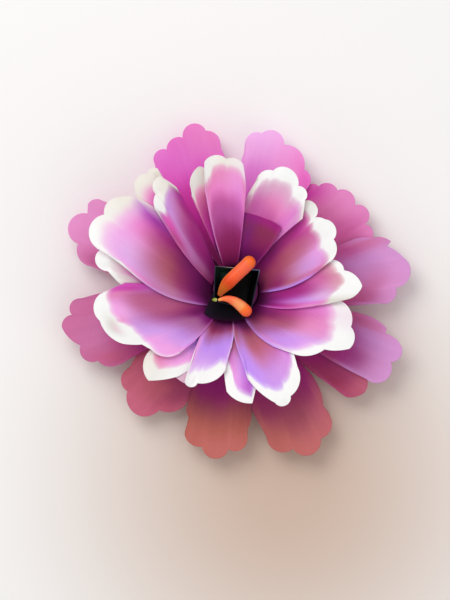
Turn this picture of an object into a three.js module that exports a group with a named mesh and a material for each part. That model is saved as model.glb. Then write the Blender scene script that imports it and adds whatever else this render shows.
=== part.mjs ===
// Cut paper flower, lying on its back: a ring of flat outer petals, a cup of shaded inner
// petals with white scalloped rims, a dark folded centre and two orange stamens.
// Millimetres, +Z up, origin under the middle of the base disc. Angles run
// counter-clockwise from +X, seen from above.
import * as THREE from "three";

// Sheet and stack
const sheet = 0.35; // thickness of a petal
const gap = 0.3; // clearance between two glued faces
const discRadius = 16;
const discThickness = 1.5;
const roundSides = 48; // facets of the disc and the plug
const coreRadius = 9; // the plug that every petal's foot is glued round

// Petal forms
const outerReach = 70; // from the middle to the end of the longest outer petals
const outerRise = 8; // an outer petal climbs this much on its way out
const outerCurve = 1.4; // power of that climb
const innerReach = 56; // where the inner petals' climb ends and their rims lie level
const innerRise = 22; // an inner petal climbs this much to its rim
const belly = 1.6; // how far a petal's long edges bow out at mid-length, unless it says its own
const overLift = 3; // an edge that lies over its neighbour curls up
const underDrop = -1.5; // an edge that lies under its neighbour sinks
const liftPower = 1.5; // how late along the petal that lift comes
const alongSteps = 5;
const lobeSteps = 3;
const straightLobe = 0.12; // a rim stretch flatter than this is one straight line
const leastRoundness = 0.01; // keeps the arc's radius finite on a straight stretch

// Centre
const cupHeight = 4.5;
const cupWall = 0.5;
const cupFloor = 0.6;
const cupLean = 0.72; // the tray's floor is this share of its mouth
const leafThickness = 0.4;
const leafTip = [-12.6, -9.4];
const leafClearance = 0.5; // between the leaf's tip and the petal below it
const longRadius = 2.7;
const shortRadius = 2.4;
const stamenSides = 10;
const stamenCapRings = 3;
const stamenBodyRings = 8;
const budRadius = 0.8;
const budStretch = 1.3;

// One petal: the angles of its foot on the plug, its place in the stack, and its rim
// from its clockwise edge to its other edge. A rim point is [angle, distance from the
// middle, roundness of the lobe up to the next point]; roundness is height over width.
// The distances are drawn for these reaches, and grow and shrink with the real ones.
const drawnOuterReach = 70;
const drawnInnerReach = 56;
const outerPetals = [
  { at: "top_left", level: 0, foot: [92, 122], lift: [0, 0], colour: 0xe183c8,
    rim: [[91.5, 46], [95.8, 57.7, 0.24], [100.5, 65.3, 0.44], [109, 65, 0.26], [116, 63, 0.36],
      [122.5, 60, 0.1], [125, 50]] },
  { at: "top", level: 1, foot: [56, 86], lift: [1, 0.5], colour: 0xf0a8e0,
    rim: [[53, 45], [55, 49.5, 0.28], [60.5, 56, 0.25], [71.5, 61.8, 0.33], [80.5, 64, 0.36],
      [85.5, 57.5, 0.1], [87, 45]] },
  { at: "top_right", level: 0, foot: [20, 54], lift: [-0.5, 0], colour: 0xcd6fae,
    rim: [[17, 48], [21, 59, 0.25], [27, 58.5, 0.42], [35.5, 59, 0.3], [44.5, 57.5, 0.27],
      [51.5, 53.5, 0.33], [55, 50], [58, 42]] },
  { at: "right", level: 1, foot: [-8, 22], lift: [-0.5, 1.5], colour: 0xdc9ed6,
    rim: [[-8, 44], [-5, 58.5, 0.31], [1, 64.4, 0.35], [11.2, 68.7, 0.05], [16.3, 63.5],
      [17.5, 65.5, 0.13], [21, 59, 0.1], [23, 50]] },
  { at: "lower_right", level: 2, foot: [-38, -8], lift: [1.5, 0.5], colour: 0xcc8cc7,
    rim: [[-36, 48], [-34, 63.5, 0.4], [-24.7, 68.6, 0.3], [-18.3, 69.8, 0.15], [-16.5, 62.8],
      [-14, 62.5, 0.1], [-10.8, 51]] },
  { at: "lower_right_back", level: 1, foot: [-52, -34], lift: [0, -1], colour: 0xa5506e,
    rim: [[-47, 44], [-45.5, 55.5, 0.2], [-38.5, 66, 0.22], [-32.5, 60, 0.1], [-28, 50]] },
  { at: "bottom_right", level: 0, foot: [-82, -52], lift: [0, 0], colour: 0xb05c68,
    rim: [[-84, 44], [-78, 60, 0.31], [-70, 67.6, 0.4], [-60, 68.6, 0.34], [-53.5, 59.5, 0.1],
      [-48, 44]] },
  { at: "bottom", level: 1, foot: [-112, -84], lift: [0, 0.5], colour: 0xb05c52,
    rim: [[-113.2, 46, 0.15], [-110, 54.6, 0.36], [-102, 64.2, 0.4], [-92.5, 63.8, 0.4],
      [-86, 57.2, 0.16], [-84, 44]] },
  { at: "bottom_left", level: 0, foot: [-146, -116], lift: [0, 0], colour: 0xbe5a6e,
    rim: [[-149, 44], [-144, 52.5, 0.32], [-137, 59.3, 0.24], [-126, 62.6, 0.1], [-122.5, 57, 0.25],
      [-113.5, 45]] },
  { at: "left", level: 1, foot: [182, 210], lift: [0, 0.5], colour: 0xcd73a0,
    rim: [[180, 50], [183, 62.5, 0.35], [188.5, 66.3, 0.22], [191.9, 71.2, 0.1], [199.5, 66, 0.34],
      [207, 62, 0.27], [211.5, 52], [213, 44]] },
  { at: "upper_left", level: 0, foot: [146, 174], lift: [0, 0], colour: 0xeb9bcd,
    rim: [[143, 50], [146, 64.8, 0.2], [149.5, 68.7], [152.5, 67, 0.46], [163.5, 66, 0.24],
      [170.5, 59], [173, 48]] },
];

const innerPetals = [
  { at: "north", level: 10, foot: [84, 118], lift: [overLift, overLift], belly: [0.2, 0.9],
    colour: 0xc860b0,
    rim: [[84, 40], [86.5, 50, 0.2], [94, 52.5, 0.25], [103.5, 52.5], [106.5, 42]] },
  { at: "north_fold", level: 9, foot: [58, 84], lift: [2, 0], colour: 0x8a2a70,
    rim: [[54, 31, 0.07], [85, 31]] },
  { at: "north_east", level: 8, foot: [48, 90], lift: [overLift, underDrop], belly: [-1.5, 1.6],
    colour: 0xcf66b4,
    rim: [[47, 39], [52.5, 45.5, 0.32], [59, 48.5, 0.2], [68, 53, 0.15], [72.5, 50, 0.24], [79, 45],
      [82, 39.8], [84, 36]] },
  { at: "east_upper", level: 7, foot: [-6, 58], lift: [overLift, underDrop], colour: 0xbe5a96,
    rim: [[10, 30], [17, 39, 0.23], [27.5, 44, 0.3], [38.5, 45.5, 0.1], [42.5, 43, 0.35],
      [52, 45.5], [62, 34]] },
  { at: "east", level: 6, foot: [-38, 6], lift: [overLift, underDrop], colour: 0xc864aa,
    rim: [[-10, 33], [-4.5, 44.5, 0.13], [2, 50.5, 0.15], [10.5, 44, 0.29], [17.5, 38], [23, 33]] },
  { at: "south_east", level: 5, foot: [-76, -26], lift: [overLift, underDrop], colour: 0xb45f78,
    rim: [[-56, 27], [-48, 33.5, 0.14], [-33.5, 42.5, 0.06], [-27.1, 51, 0.21], [-17.5, 48.2, 0.27],
      [-5, 38.5], [2, 33]] },
  { at: "south_right", level: 4, foot: [-97, -62], lift: [overLift, underDrop], colour: 0xb9689b,
    rim: [[-83, 28], [-81.5, 36, 0.06], [-70.5, 47.5, 0.4], [-62.5, 47.5, 0.19], [-51, 39.3],
      [-42, 29]] },
  { at: "south_left", level: 3, foot: [-134, -98], lift: [1.5, overLift], colour: 0xb98cd2,
    rim: [[-122, 32], [-119, 41.5, 0.4], [-112.5, 40, 0.15], [-98, 32.5], [-97, 26]] },
  { at: "south", level: 2, foot: [-112, -80], lift: [underDrop, underDrop], colour: 0xaa5f82,
    rim: [[-99, 31], [-95, 40.5, 0.13], [-81.5, 45.5], [-74, 34]] },
  { at: "south_west", level: 1, foot: [-160, -120], lift: [underDrop, 0], colour: 0xc878b4,
    rim: [[-154, 34], [-145, 41.5, 0.21], [-134, 50, 0.04], [-123.5, 41], [-116, 32]] },
  { at: "south_west_back", level: 0, foot: [-132, -110], lift: [underDrop, underDrop], colour: 0xb4a0aa,
    rim: [[-131, 36], [-128, 41.5, 0.08], [-116, 42], [-112, 35]] },
  { at: "west", level: 4, foot: [198, 230], lift: [0, overLift], colour: 0xc878be,
    rim: [[176, 44], [181.5, 54, 0.24], [192.5, 55.5, 0.13], [205.5, 49.5, 0.03], [210, 43],
      [215, 41, 0.23], [228, 32]] },
  { at: "west_back", level: 3, foot: [170, 208], lift: [underDrop, underDrop], colour: 0xd2a0b4,
    rim: [[160, 48], [163.5, 56.5, 0.38], [171, 52], [177, 46], [181, 38]] },
  { at: "north_west", level: 5, foot: [154, 224], lift: [underDrop, overLift], belly: [-2.6, 5],
    colour: 0xc864a0,
    rim: [[134.3, 45, 0.05], [137.5, 55.5, 0.05], [141.6, 59.9, 0.22], [150, 60.5, 0.38],
      [163, 56.5], [165.9, 46.8]] },
  { at: "north_west_back", level: 2, foot: [140, 166], lift: [underDrop, underDrop], colour: 0xe1b4c3,
    rim: [[122, 48], [123, 55.2, 0.5], [127, 58.5, 0.25], [135, 57], [141, 48]] },
  { at: "north_upper_left", level: 6, foot: [136, 168], lift: [underDrop, overLift], belly: [1, 1.6],
    colour: 0xbe5fa0,
    rim: [[119.8, 47.5], [121.5, 51], [123.5, 54.5, 0.33], [129, 50, 0.28], [133, 41]] },
  { at: "north_left", level: 7, foot: [98, 118], lift: [underDrop, overLift], belly: [1.6, 0],
    colour: 0xc85faf,
    rim: [[95, 38], [103.5, 48, 0.2], [106.5, 51.5, 0.17], [113.5, 44, 0.1], [114.2, 40]] },
];

const degrees = Math.PI / 180;
const footRadius = coreRadius + gap;
const levelStep = sheet + gap;
const firstFoot = discThickness + gap;
const outerLevels = 1 + Math.max(...outerPetals.map((petal) => petal.level));
const leafRest = innerPetals.find((petal) => petal.at === "west");

const flower = new THREE.Group();

function addPiece(name, geometry, colour, roughness) {
  const material = new THREE.MeshStandardMaterial({ color: colour, roughness, metalness: 0 });
  const mesh = new THREE.Mesh(geometry, material);
  mesh.name = name;
  flower.add(mesh);
}

function polar(angle, radius) {
  return [radius * Math.cos(angle * degrees), radius * Math.sin(angle * degrees)];
}

// A closed solid from a grid of points: a top skin, a bottom skin and the wall between.
function gridSolid(top, bottom) {
  const rows = top.length;
  const columns = top[0].length;
  const positions = [...top.flat(2), ...bottom.flat(2)];
  const below = rows * columns;
  const at = (row, column) => row * columns + column;
  const index = [];
  const quad = (a, b, c, d) => index.push(a, b, c, a, c, d);
  for (let row = 0; row + 1 < rows; row += 1) {
    for (let column = 0; column + 1 < columns; column += 1) {
      const here = at(row, column);
      const ahead = at(row + 1, column);
      quad(here, ahead, ahead + 1, here + 1);
      quad(below + here, below + here + 1, below + ahead + 1, below + ahead);
    }
  }
  const edge = [];
  for (let column = 0; column + 1 < columns; column += 1) edge.push(at(0, column));
  for (let row = 0; row + 1 < rows; row += 1) edge.push(at(row, columns - 1));
  for (let column = columns - 1; column > 0; column -= 1) edge.push(at(rows - 1, column));
  for (let row = rows - 1; row > 0; row -= 1) edge.push(at(row, 0));
  edge.forEach((here, step) => {
    const next = edge[(step + 1) % edge.length];
    quad(here, next, next + below, here + below);
  });
  const geometry = new THREE.BufferGeometry();
  geometry.setAttribute("position", new THREE.Float32BufferAttribute(positions, 3));
  geometry.setIndex(index);
  geometry.computeVertexNormals();
  return geometry;
}

// The rim as a polyline: between two points it is an arc whose height is a share of its
// chord, and the arc bulges away from the middle of the flower. Each point also says how
// far along the rim it lies, as a share of the chords' length.
function rimLine(drawnRim, growth) {
  const rim = drawnRim.map(([angle, distance, roundness]) => [angle, distance * growth, roundness]);
  const line = [];
  let travelled = 0;
  for (let corner = 0; corner + 1 < rim.length; corner += 1) {
    const [angle, radius, roundness = 0] = rim[corner];
    const from = new THREE.Vector2(...polar(angle, radius));
    const to = new THREE.Vector2(...polar(rim[corner + 1][0], rim[corner + 1][1]));
    const chord = to.distanceTo(from);
    const along = to.clone().sub(from).divideScalar(chord);
    const outward = new THREE.Vector2(along.y, -along.x);
    const halfAngle = 2 * Math.atan(2 * Math.max(roundness, leastRoundness));
    const arcRadius = chord / 2 / Math.sin(halfAngle);
    const steps = roundness > straightLobe ? lobeSteps : 1;
    for (let step = 0; step < steps; step += 1) {
      const turn = halfAngle * ((2 * step) / steps - 1);
      const forward = chord / 2 + arcRadius * Math.sin(turn);
      const height = arcRadius * (Math.cos(turn) - Math.cos(halfAngle));
      const end = from.clone().addScaledVector(along, forward).addScaledVector(outward, height);
      line.push({ end, across: travelled + (chord * step) / steps });
    }
    travelled += chord;
  }
  const [lastAngle, lastRadius] = rim[rim.length - 1];
  line.push({ end: new THREE.Vector2(...polar(lastAngle, lastRadius)), across: travelled });
  return line.map(({ end, across }) => ({ end, across: across / travelled }));
}

function outerHeight(radius) {
  const share = Math.max(0, (radius - footRadius) / (outerReach - footRadius));
  return outerRise * share ** outerCurve;
}

function innerHeight(radius) {
  const share = Math.min(1, Math.max(0, (radius - footRadius) / (innerReach - footRadius)));
  return innerRise * Math.sin((share * Math.PI) / 2);
}

// A petal is ruled from its foot on the plug to its rim. Its height is the shared height
// at that distance from the middle, its place in the stack, and the lift of its two edges.
function petalSolid(petal, stackLevel, height, growth) {
  const rim = rimLine(petal.rim, growth);
  const base = firstFoot + stackLevel * levelStep;
  const axis = rim[0].end.clone().add(rim[rim.length - 1].end).normalize();
  const [lowBelly, highBelly] = petal.belly ?? [belly, belly];
  const top = [];
  for (let row = 0; row <= alongSteps; row += 1) {
    const share = row / alongSteps;
    top.push(rim.map(({ end, across }) => {
      const footAngle = petal.foot[0] + (petal.foot[1] - petal.foot[0]) * across;
      const [footX, footY] = polar(footAngle, footRadius);
      const side = 2 * across - 1;
      const ownBelly = lowBelly + (highBelly - lowBelly) * across;
      const bow = ownBelly * side * Math.sin(Math.PI * share);
      const x = footX + (end.x - footX) * share - axis.y * bow;
      const y = footY + (end.y - footY) * share + axis.x * bow;
      const lift = (side < 0 ? petal.lift[0] : petal.lift[1]) * side ** 2 * share ** liftPower;
      return [x, y, base + sheet + height(Math.hypot(x, y)) + lift];
    }));
  }
  const bottom = top.map((row) => row.map(([x, y, z]) => [x, y, z - sheet]));
  return gridSolid(top, bottom);
}

// The plug ends where the leaf on it clears the petal under the leaf's tip.
const leafRestTop = firstFoot + (outerLevels + leafRest.level) * levelStep + sheet;
const leafBottom = leafRestTop + innerHeight(Math.hypot(...leafTip)) + leafClearance;
const coreTop = leafBottom - gap;

// Base disc and core plug
const disc = new THREE.CylinderGeometry(discRadius, discRadius, discThickness, roundSides);
disc.rotateX(Math.PI / 2).translate(0, 0, discThickness / 2);
addPiece("base_disc", disc, 0xf2ece4, 0.9);

const coreBottom = discThickness + gap;
const core = new THREE.CylinderGeometry(coreRadius, coreRadius, coreTop - coreBottom, roundSides);
core.rotateX(Math.PI / 2).translate(0, 0, (coreTop + coreBottom) / 2);
addPiece("core_plug", core, 0x5a1046, 0.9);

const outerGrowth = outerReach / drawnOuterReach;
for (const petal of outerPetals) {
  const solid = petalSolid(petal, petal.level, outerHeight, outerGrowth);
  addPiece(`outer_petal_${petal.at}`, solid, petal.colour, 0.7);
}
const innerGrowth = innerReach / drawnInnerReach;
for (const petal of innerPetals) {
  const solid = petalSolid(petal, outerLevels + petal.level, innerHeight, innerGrowth);
  addPiece(`inner_petal_${petal.at}`, solid, petal.colour, 0.7);
}

// Dark leaf, glued flat on the plug and reaching out below the tray
const leafShape = new THREE.Shape();
leafShape.moveTo(-7, 3);
leafShape.quadraticCurveTo(-10.5, -3, ...leafTip);
leafShape.quadraticCurveTo(-8, -12.6, 0, -12.2);
leafShape.quadraticCurveTo(6, -12, 7, -6);
leafShape.quadraticCurveTo(3, 3, -7, 3);
const leafOptions = { depth: leafThickness, bevelEnabled: false, curveSegments: 6 };
const leaf = new THREE.ExtrudeGeometry(leafShape, leafOptions);
leaf.translate(0, 0, leafBottom);
addPiece("centre_leaf", leaf, 0x141a26, 0.6);

// Dark folded tray: four leaning walls round a small floor
const cupMouth = [[-8.2, 9.8], [-8.8, -4.2], [6.4, -7.6], [9.8, 8.2]];
const cupBottom = leafBottom + leafThickness + gap;
const cupTop = cupBottom + cupHeight;

function cupRing(share, inset, z) {
  const middle = cupMouth.reduce((sum, [x, y]) => [sum[0] + x / 4, sum[1] + y / 4], [0, 0]);
  return cupMouth.map(([x, y]) => {
    const away = new THREE.Vector2(x - middle[0], y - middle[1]);
    const length = away.length() * share - inset;
    away.setLength(length);
    return [middle[0] + away.x, middle[1] + away.y, z];
  });
}

// A closed solid lofted through rings of as many points each, capped at both ends.
function ringSolid(rings) {
  const count = rings[0].length;
  const positions = rings.flat(2);
  const index = [];
  for (let ring = 0; ring + 1 < rings.length; ring += 1) {
    for (let point = 0; point < count; point += 1) {
      const a = ring * count + point;
      const b = ring * count + ((point + 1) % count);
      index.push(a, b, b + count, a, b + count, a + count);
    }
  }
  const last = (rings.length - 1) * count;
  for (let point = 1; point + 1 < count; point += 1) {
    index.push(0, point + 1, point);
    index.push(last, last + point, last + point + 1);
  }
  const geometry = new THREE.BufferGeometry();
  geometry.setAttribute("position", new THREE.Float32BufferAttribute(positions, 3));
  geometry.setIndex(index);
  geometry.computeVertexNormals();
  return geometry;
}

const cup = ringSolid([
  cupRing(cupLean, 0, cupBottom),
  cupRing(1, 0, cupTop),
  cupRing(1, cupWall, cupTop),
  cupRing(cupLean, cupWall, cupBottom + cupFloor),
]);
addPiece("centre_tray", cup, 0x14211f, 0.6);

// Stamens: round rods with round ends, lying across the tray's mouth

// A stamen swells from its start share of the full radius along the swelling share of its length.
function stamenSolid(points, radius, startShare, swelling) {
  const curve = new THREE.CatmullRomCurve3(points.map(([x, y]) => new THREE.Vector3(x, y, 0)));
  const rings = [];
  const ringAt = (share, size, shift) => {
    const centre = curve.getPointAt(share);
    const along = curve.getTangentAt(share);
    const sideways = new THREE.Vector3(-along.y, along.x, 0);
    centre.addScaledVector(along, shift);
    rings.push(Array.from({ length: stamenSides }, (_, side) => {
      const turn = (2 * Math.PI * side) / stamenSides;
      const x = centre.x + sideways.x * size * Math.cos(turn);
      const y = centre.y + sideways.y * size * Math.cos(turn);
      return [x, y, size * Math.sin(turn)];
    }));
  };
  const startRadius = radius * startShare;
  for (let ring = 0; ring < stamenCapRings; ring += 1) {
    const turn = ((ring + 0.5) / stamenCapRings) * (Math.PI / 2);
    ringAt(0, startRadius * Math.sin(turn), -startRadius * Math.cos(turn));
  }
  for (let ring = 0; ring <= stamenBodyRings; ring += 1) {
    const share = ring / stamenBodyRings;
    const swollen = Math.sin((Math.min(1, share / swelling) * Math.PI) / 2);
    ringAt(share, startRadius + (radius - startRadius) * swollen, 0);
  }
  for (let ring = stamenCapRings - 1; ring >= 0; ring -= 1) {
    const turn = ((ring + 0.5) / stamenCapRings) * (Math.PI / 2);
    ringAt(1, radius * Math.sin(turn), radius * Math.cos(turn));
  }
  return ringSolid(rings);
}

const longPoints = [[-6.1, -1.3], [-4.2, 1.6], [0.1, 6.1], [5.4, 11.2]];
const shortPoints = [[-6.4, -3.7], [-2.6, -3.5], [1.2, -5.4], [4.2, -8.1]];
const longStart = 0.4;
const shortStart = 0.25;
for (const [name, geometry, radius, colour] of [
  ["stamen_long", stamenSolid(longPoints, longRadius, longStart, 0.4), longRadius, 0xf56414],
  ["stamen_short", stamenSolid(shortPoints, shortRadius, shortStart, 1), shortRadius, 0xff6e32],
]) {
  geometry.translate(0, 0, cupTop + gap + radius);
  addPiece(name, geometry, colour, 0.45);
}

// Yellow-green bud in line with the bent stamen's thin end
const bud = new THREE.SphereGeometry(budRadius, 14, 10);
bud.rotateX(Math.PI / 2).scale(budStretch, 1, 1);
const budReach = shortRadius * shortStart + gap + budRadius * budStretch;
bud.translate(shortPoints[0][0] - budReach, shortPoints[0][1], cupTop + gap + shortRadius);
addPiece("stamen_bud", bud, 0xa0aa28, 0.6);

export default flower;
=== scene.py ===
import math
import bmesh
import bpy
import numpy as np
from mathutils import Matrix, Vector


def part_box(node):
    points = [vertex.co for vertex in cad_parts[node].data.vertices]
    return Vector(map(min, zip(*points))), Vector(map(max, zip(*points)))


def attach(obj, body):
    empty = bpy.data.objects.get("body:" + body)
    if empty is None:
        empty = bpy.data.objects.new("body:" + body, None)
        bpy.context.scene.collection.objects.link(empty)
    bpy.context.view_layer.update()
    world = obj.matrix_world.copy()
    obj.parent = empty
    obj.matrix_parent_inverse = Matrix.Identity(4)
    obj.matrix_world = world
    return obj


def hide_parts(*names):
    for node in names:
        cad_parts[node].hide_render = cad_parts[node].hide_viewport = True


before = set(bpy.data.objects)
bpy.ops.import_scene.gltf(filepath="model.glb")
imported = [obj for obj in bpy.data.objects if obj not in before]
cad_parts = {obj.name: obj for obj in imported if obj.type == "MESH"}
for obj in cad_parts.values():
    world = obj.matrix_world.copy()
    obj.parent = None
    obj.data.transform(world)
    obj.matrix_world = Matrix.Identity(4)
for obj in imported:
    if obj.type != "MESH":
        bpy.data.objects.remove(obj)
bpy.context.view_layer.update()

mm = 0.001

# Where the photograph's frame lies over the flower
photo = {
    "width": 450,
    "height": 600,
    "middleX": 235.5,  # pixel over the middle of the base disc
    "middleY": 290.5,
    "mmPerPixel": 0.4,
}

# The same driving sizes as the frame has, in millimetres
stack = {
    "sheet": 0.35,
    "gap": 0.3,
    "discThickness": 1.5,
    "plugRadius": 9.0,
    "outerLevels": 3,  # levels that the outer petals take
}
stack["step"] = stack["sheet"] + stack["gap"]
stack["footRadius"] = stack["plugRadius"] + stack["gap"]
stack["firstFoot"] = stack["discThickness"] + stack["gap"]

# The petals' shared form: reach, rise and belly are in millimetres
form = {
    "outerReach": 70.0,
    "outerRise": 8.0,
    "outerCurve": 1.4,
    "innerReach": 56.0,
    "innerRise": 22.0,
    "belly": 1.6,  # how far a long edge bows out, where a petal gives no belly of its own
    "liftPower": 1.5,
    "plainFoot": 0.2,  # the share of a petal's length over which its edge tones fade in
    "leastTurn": 0.0006,  # the least angle between a petal's ruled lines, as seen from its foot
    "leastRoundness": 0.01,
    "leastArcSteps": 5,
    "alongSteps": 56,
    "rimDenser": 1.35,  # above 1 the steps along a petal get shorter towards its rim
    "acrossSteps": 120,
}

# How a rim's lip rolls down, in mm: by roll all along it, and by lobe times the roundness at a
# lobe's crown, over the length from the rim. Where even is 1, the bow and the body tones of a
# petal go by its longest ruled line, and where it is 0 by each line's own length.
outerLip = {"roll": 0.15, "lobe": 0.6, "length": 2.5, "fall": 1.5, "even": 1.0}
innerLip = {"roll": 0.4, "lobe": 1.8, "length": 2.5, "fall": 1.5, "even": 0.0}

# Paint tones, as they look in daylight
tones = {
    "night": (76, 4, 62), "plum": (112, 6, 92), "wine": (142, 28, 96), "berry": (160, 22, 122),
    "wineRed": (150, 36, 74), "wineBrown": (142, 44, 86), "magenta": (194, 42, 156),
    "magentaRose": (194, 68, 140), "hotPink": (236, 84, 188), "purpleDark": (124, 28, 122),
    "purple": (150, 42, 158), "violet": (182, 84, 200), "brownRose": (152, 76, 86),
    "clay": (180, 88, 100), "clayDark": (150, 66, 80), "dustyPurple": (150, 50, 110),
    "dustyRose": (190, 94, 130), "dustyMauve": (170, 92, 140), "dustyOrchid": (190, 84, 160),
    "raspberry": (166, 62, 104), "raspberryDark": (150, 36, 108), "raspberryPink": (182, 72, 126),
    "roseDeep": (186, 80, 130), "rose": (208, 106, 156), "roseMid": (216, 114, 166),
    "roseLight": (234, 138, 198), "roseClay": (190, 90, 108), "roseRed": (200, 88, 120),
    "rosePink": (238, 138, 190), "salmonPink": (230, 130, 168), "salmonRose": (200, 98, 124),
    "salmon": (200, 106, 104), "salmonTerra": (194, 102, 92), "terracotta": (178, 90, 78),
    "terracottaRose": (182, 90, 92), "pink": (246, 134, 206), "pinkMid": (228, 134, 188),
    "pinkSoft": (238, 154, 208), "candy": (250, 166, 234), "candyPink": (252, 156, 224),
    "candyPale": (254, 188, 248), "candyMauve": (228, 152, 212), "orchid": (226, 116, 212),
    "orchidSoft": (240, 136, 224), "orchidPink": (238, 98, 208), "orchidPinkSoft": (242, 122, 212),
    "orchidRose": (206, 92, 166), "mauve": (206, 134, 200), "mauveLight": (220, 152, 214),
    "mauveRose": (208, 116, 168), "mauveSoft": (212, 132, 182), "lilac": (218, 164, 242),
    "lilacGrey": (206, 148, 216), "lavender": (196, 144, 248), "paleLilac": (236, 200, 250),
    "blush": (248, 204, 226), "blushGrey": (226, 184, 206), "blushWhite": (244, 230, 238),
    "beigePink": (228, 176, 182), "stone": (222, 218, 208), "cream": (238, 232, 222),
    "white": (252, 252, 250), "card": (232, 224, 210),
}

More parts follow.
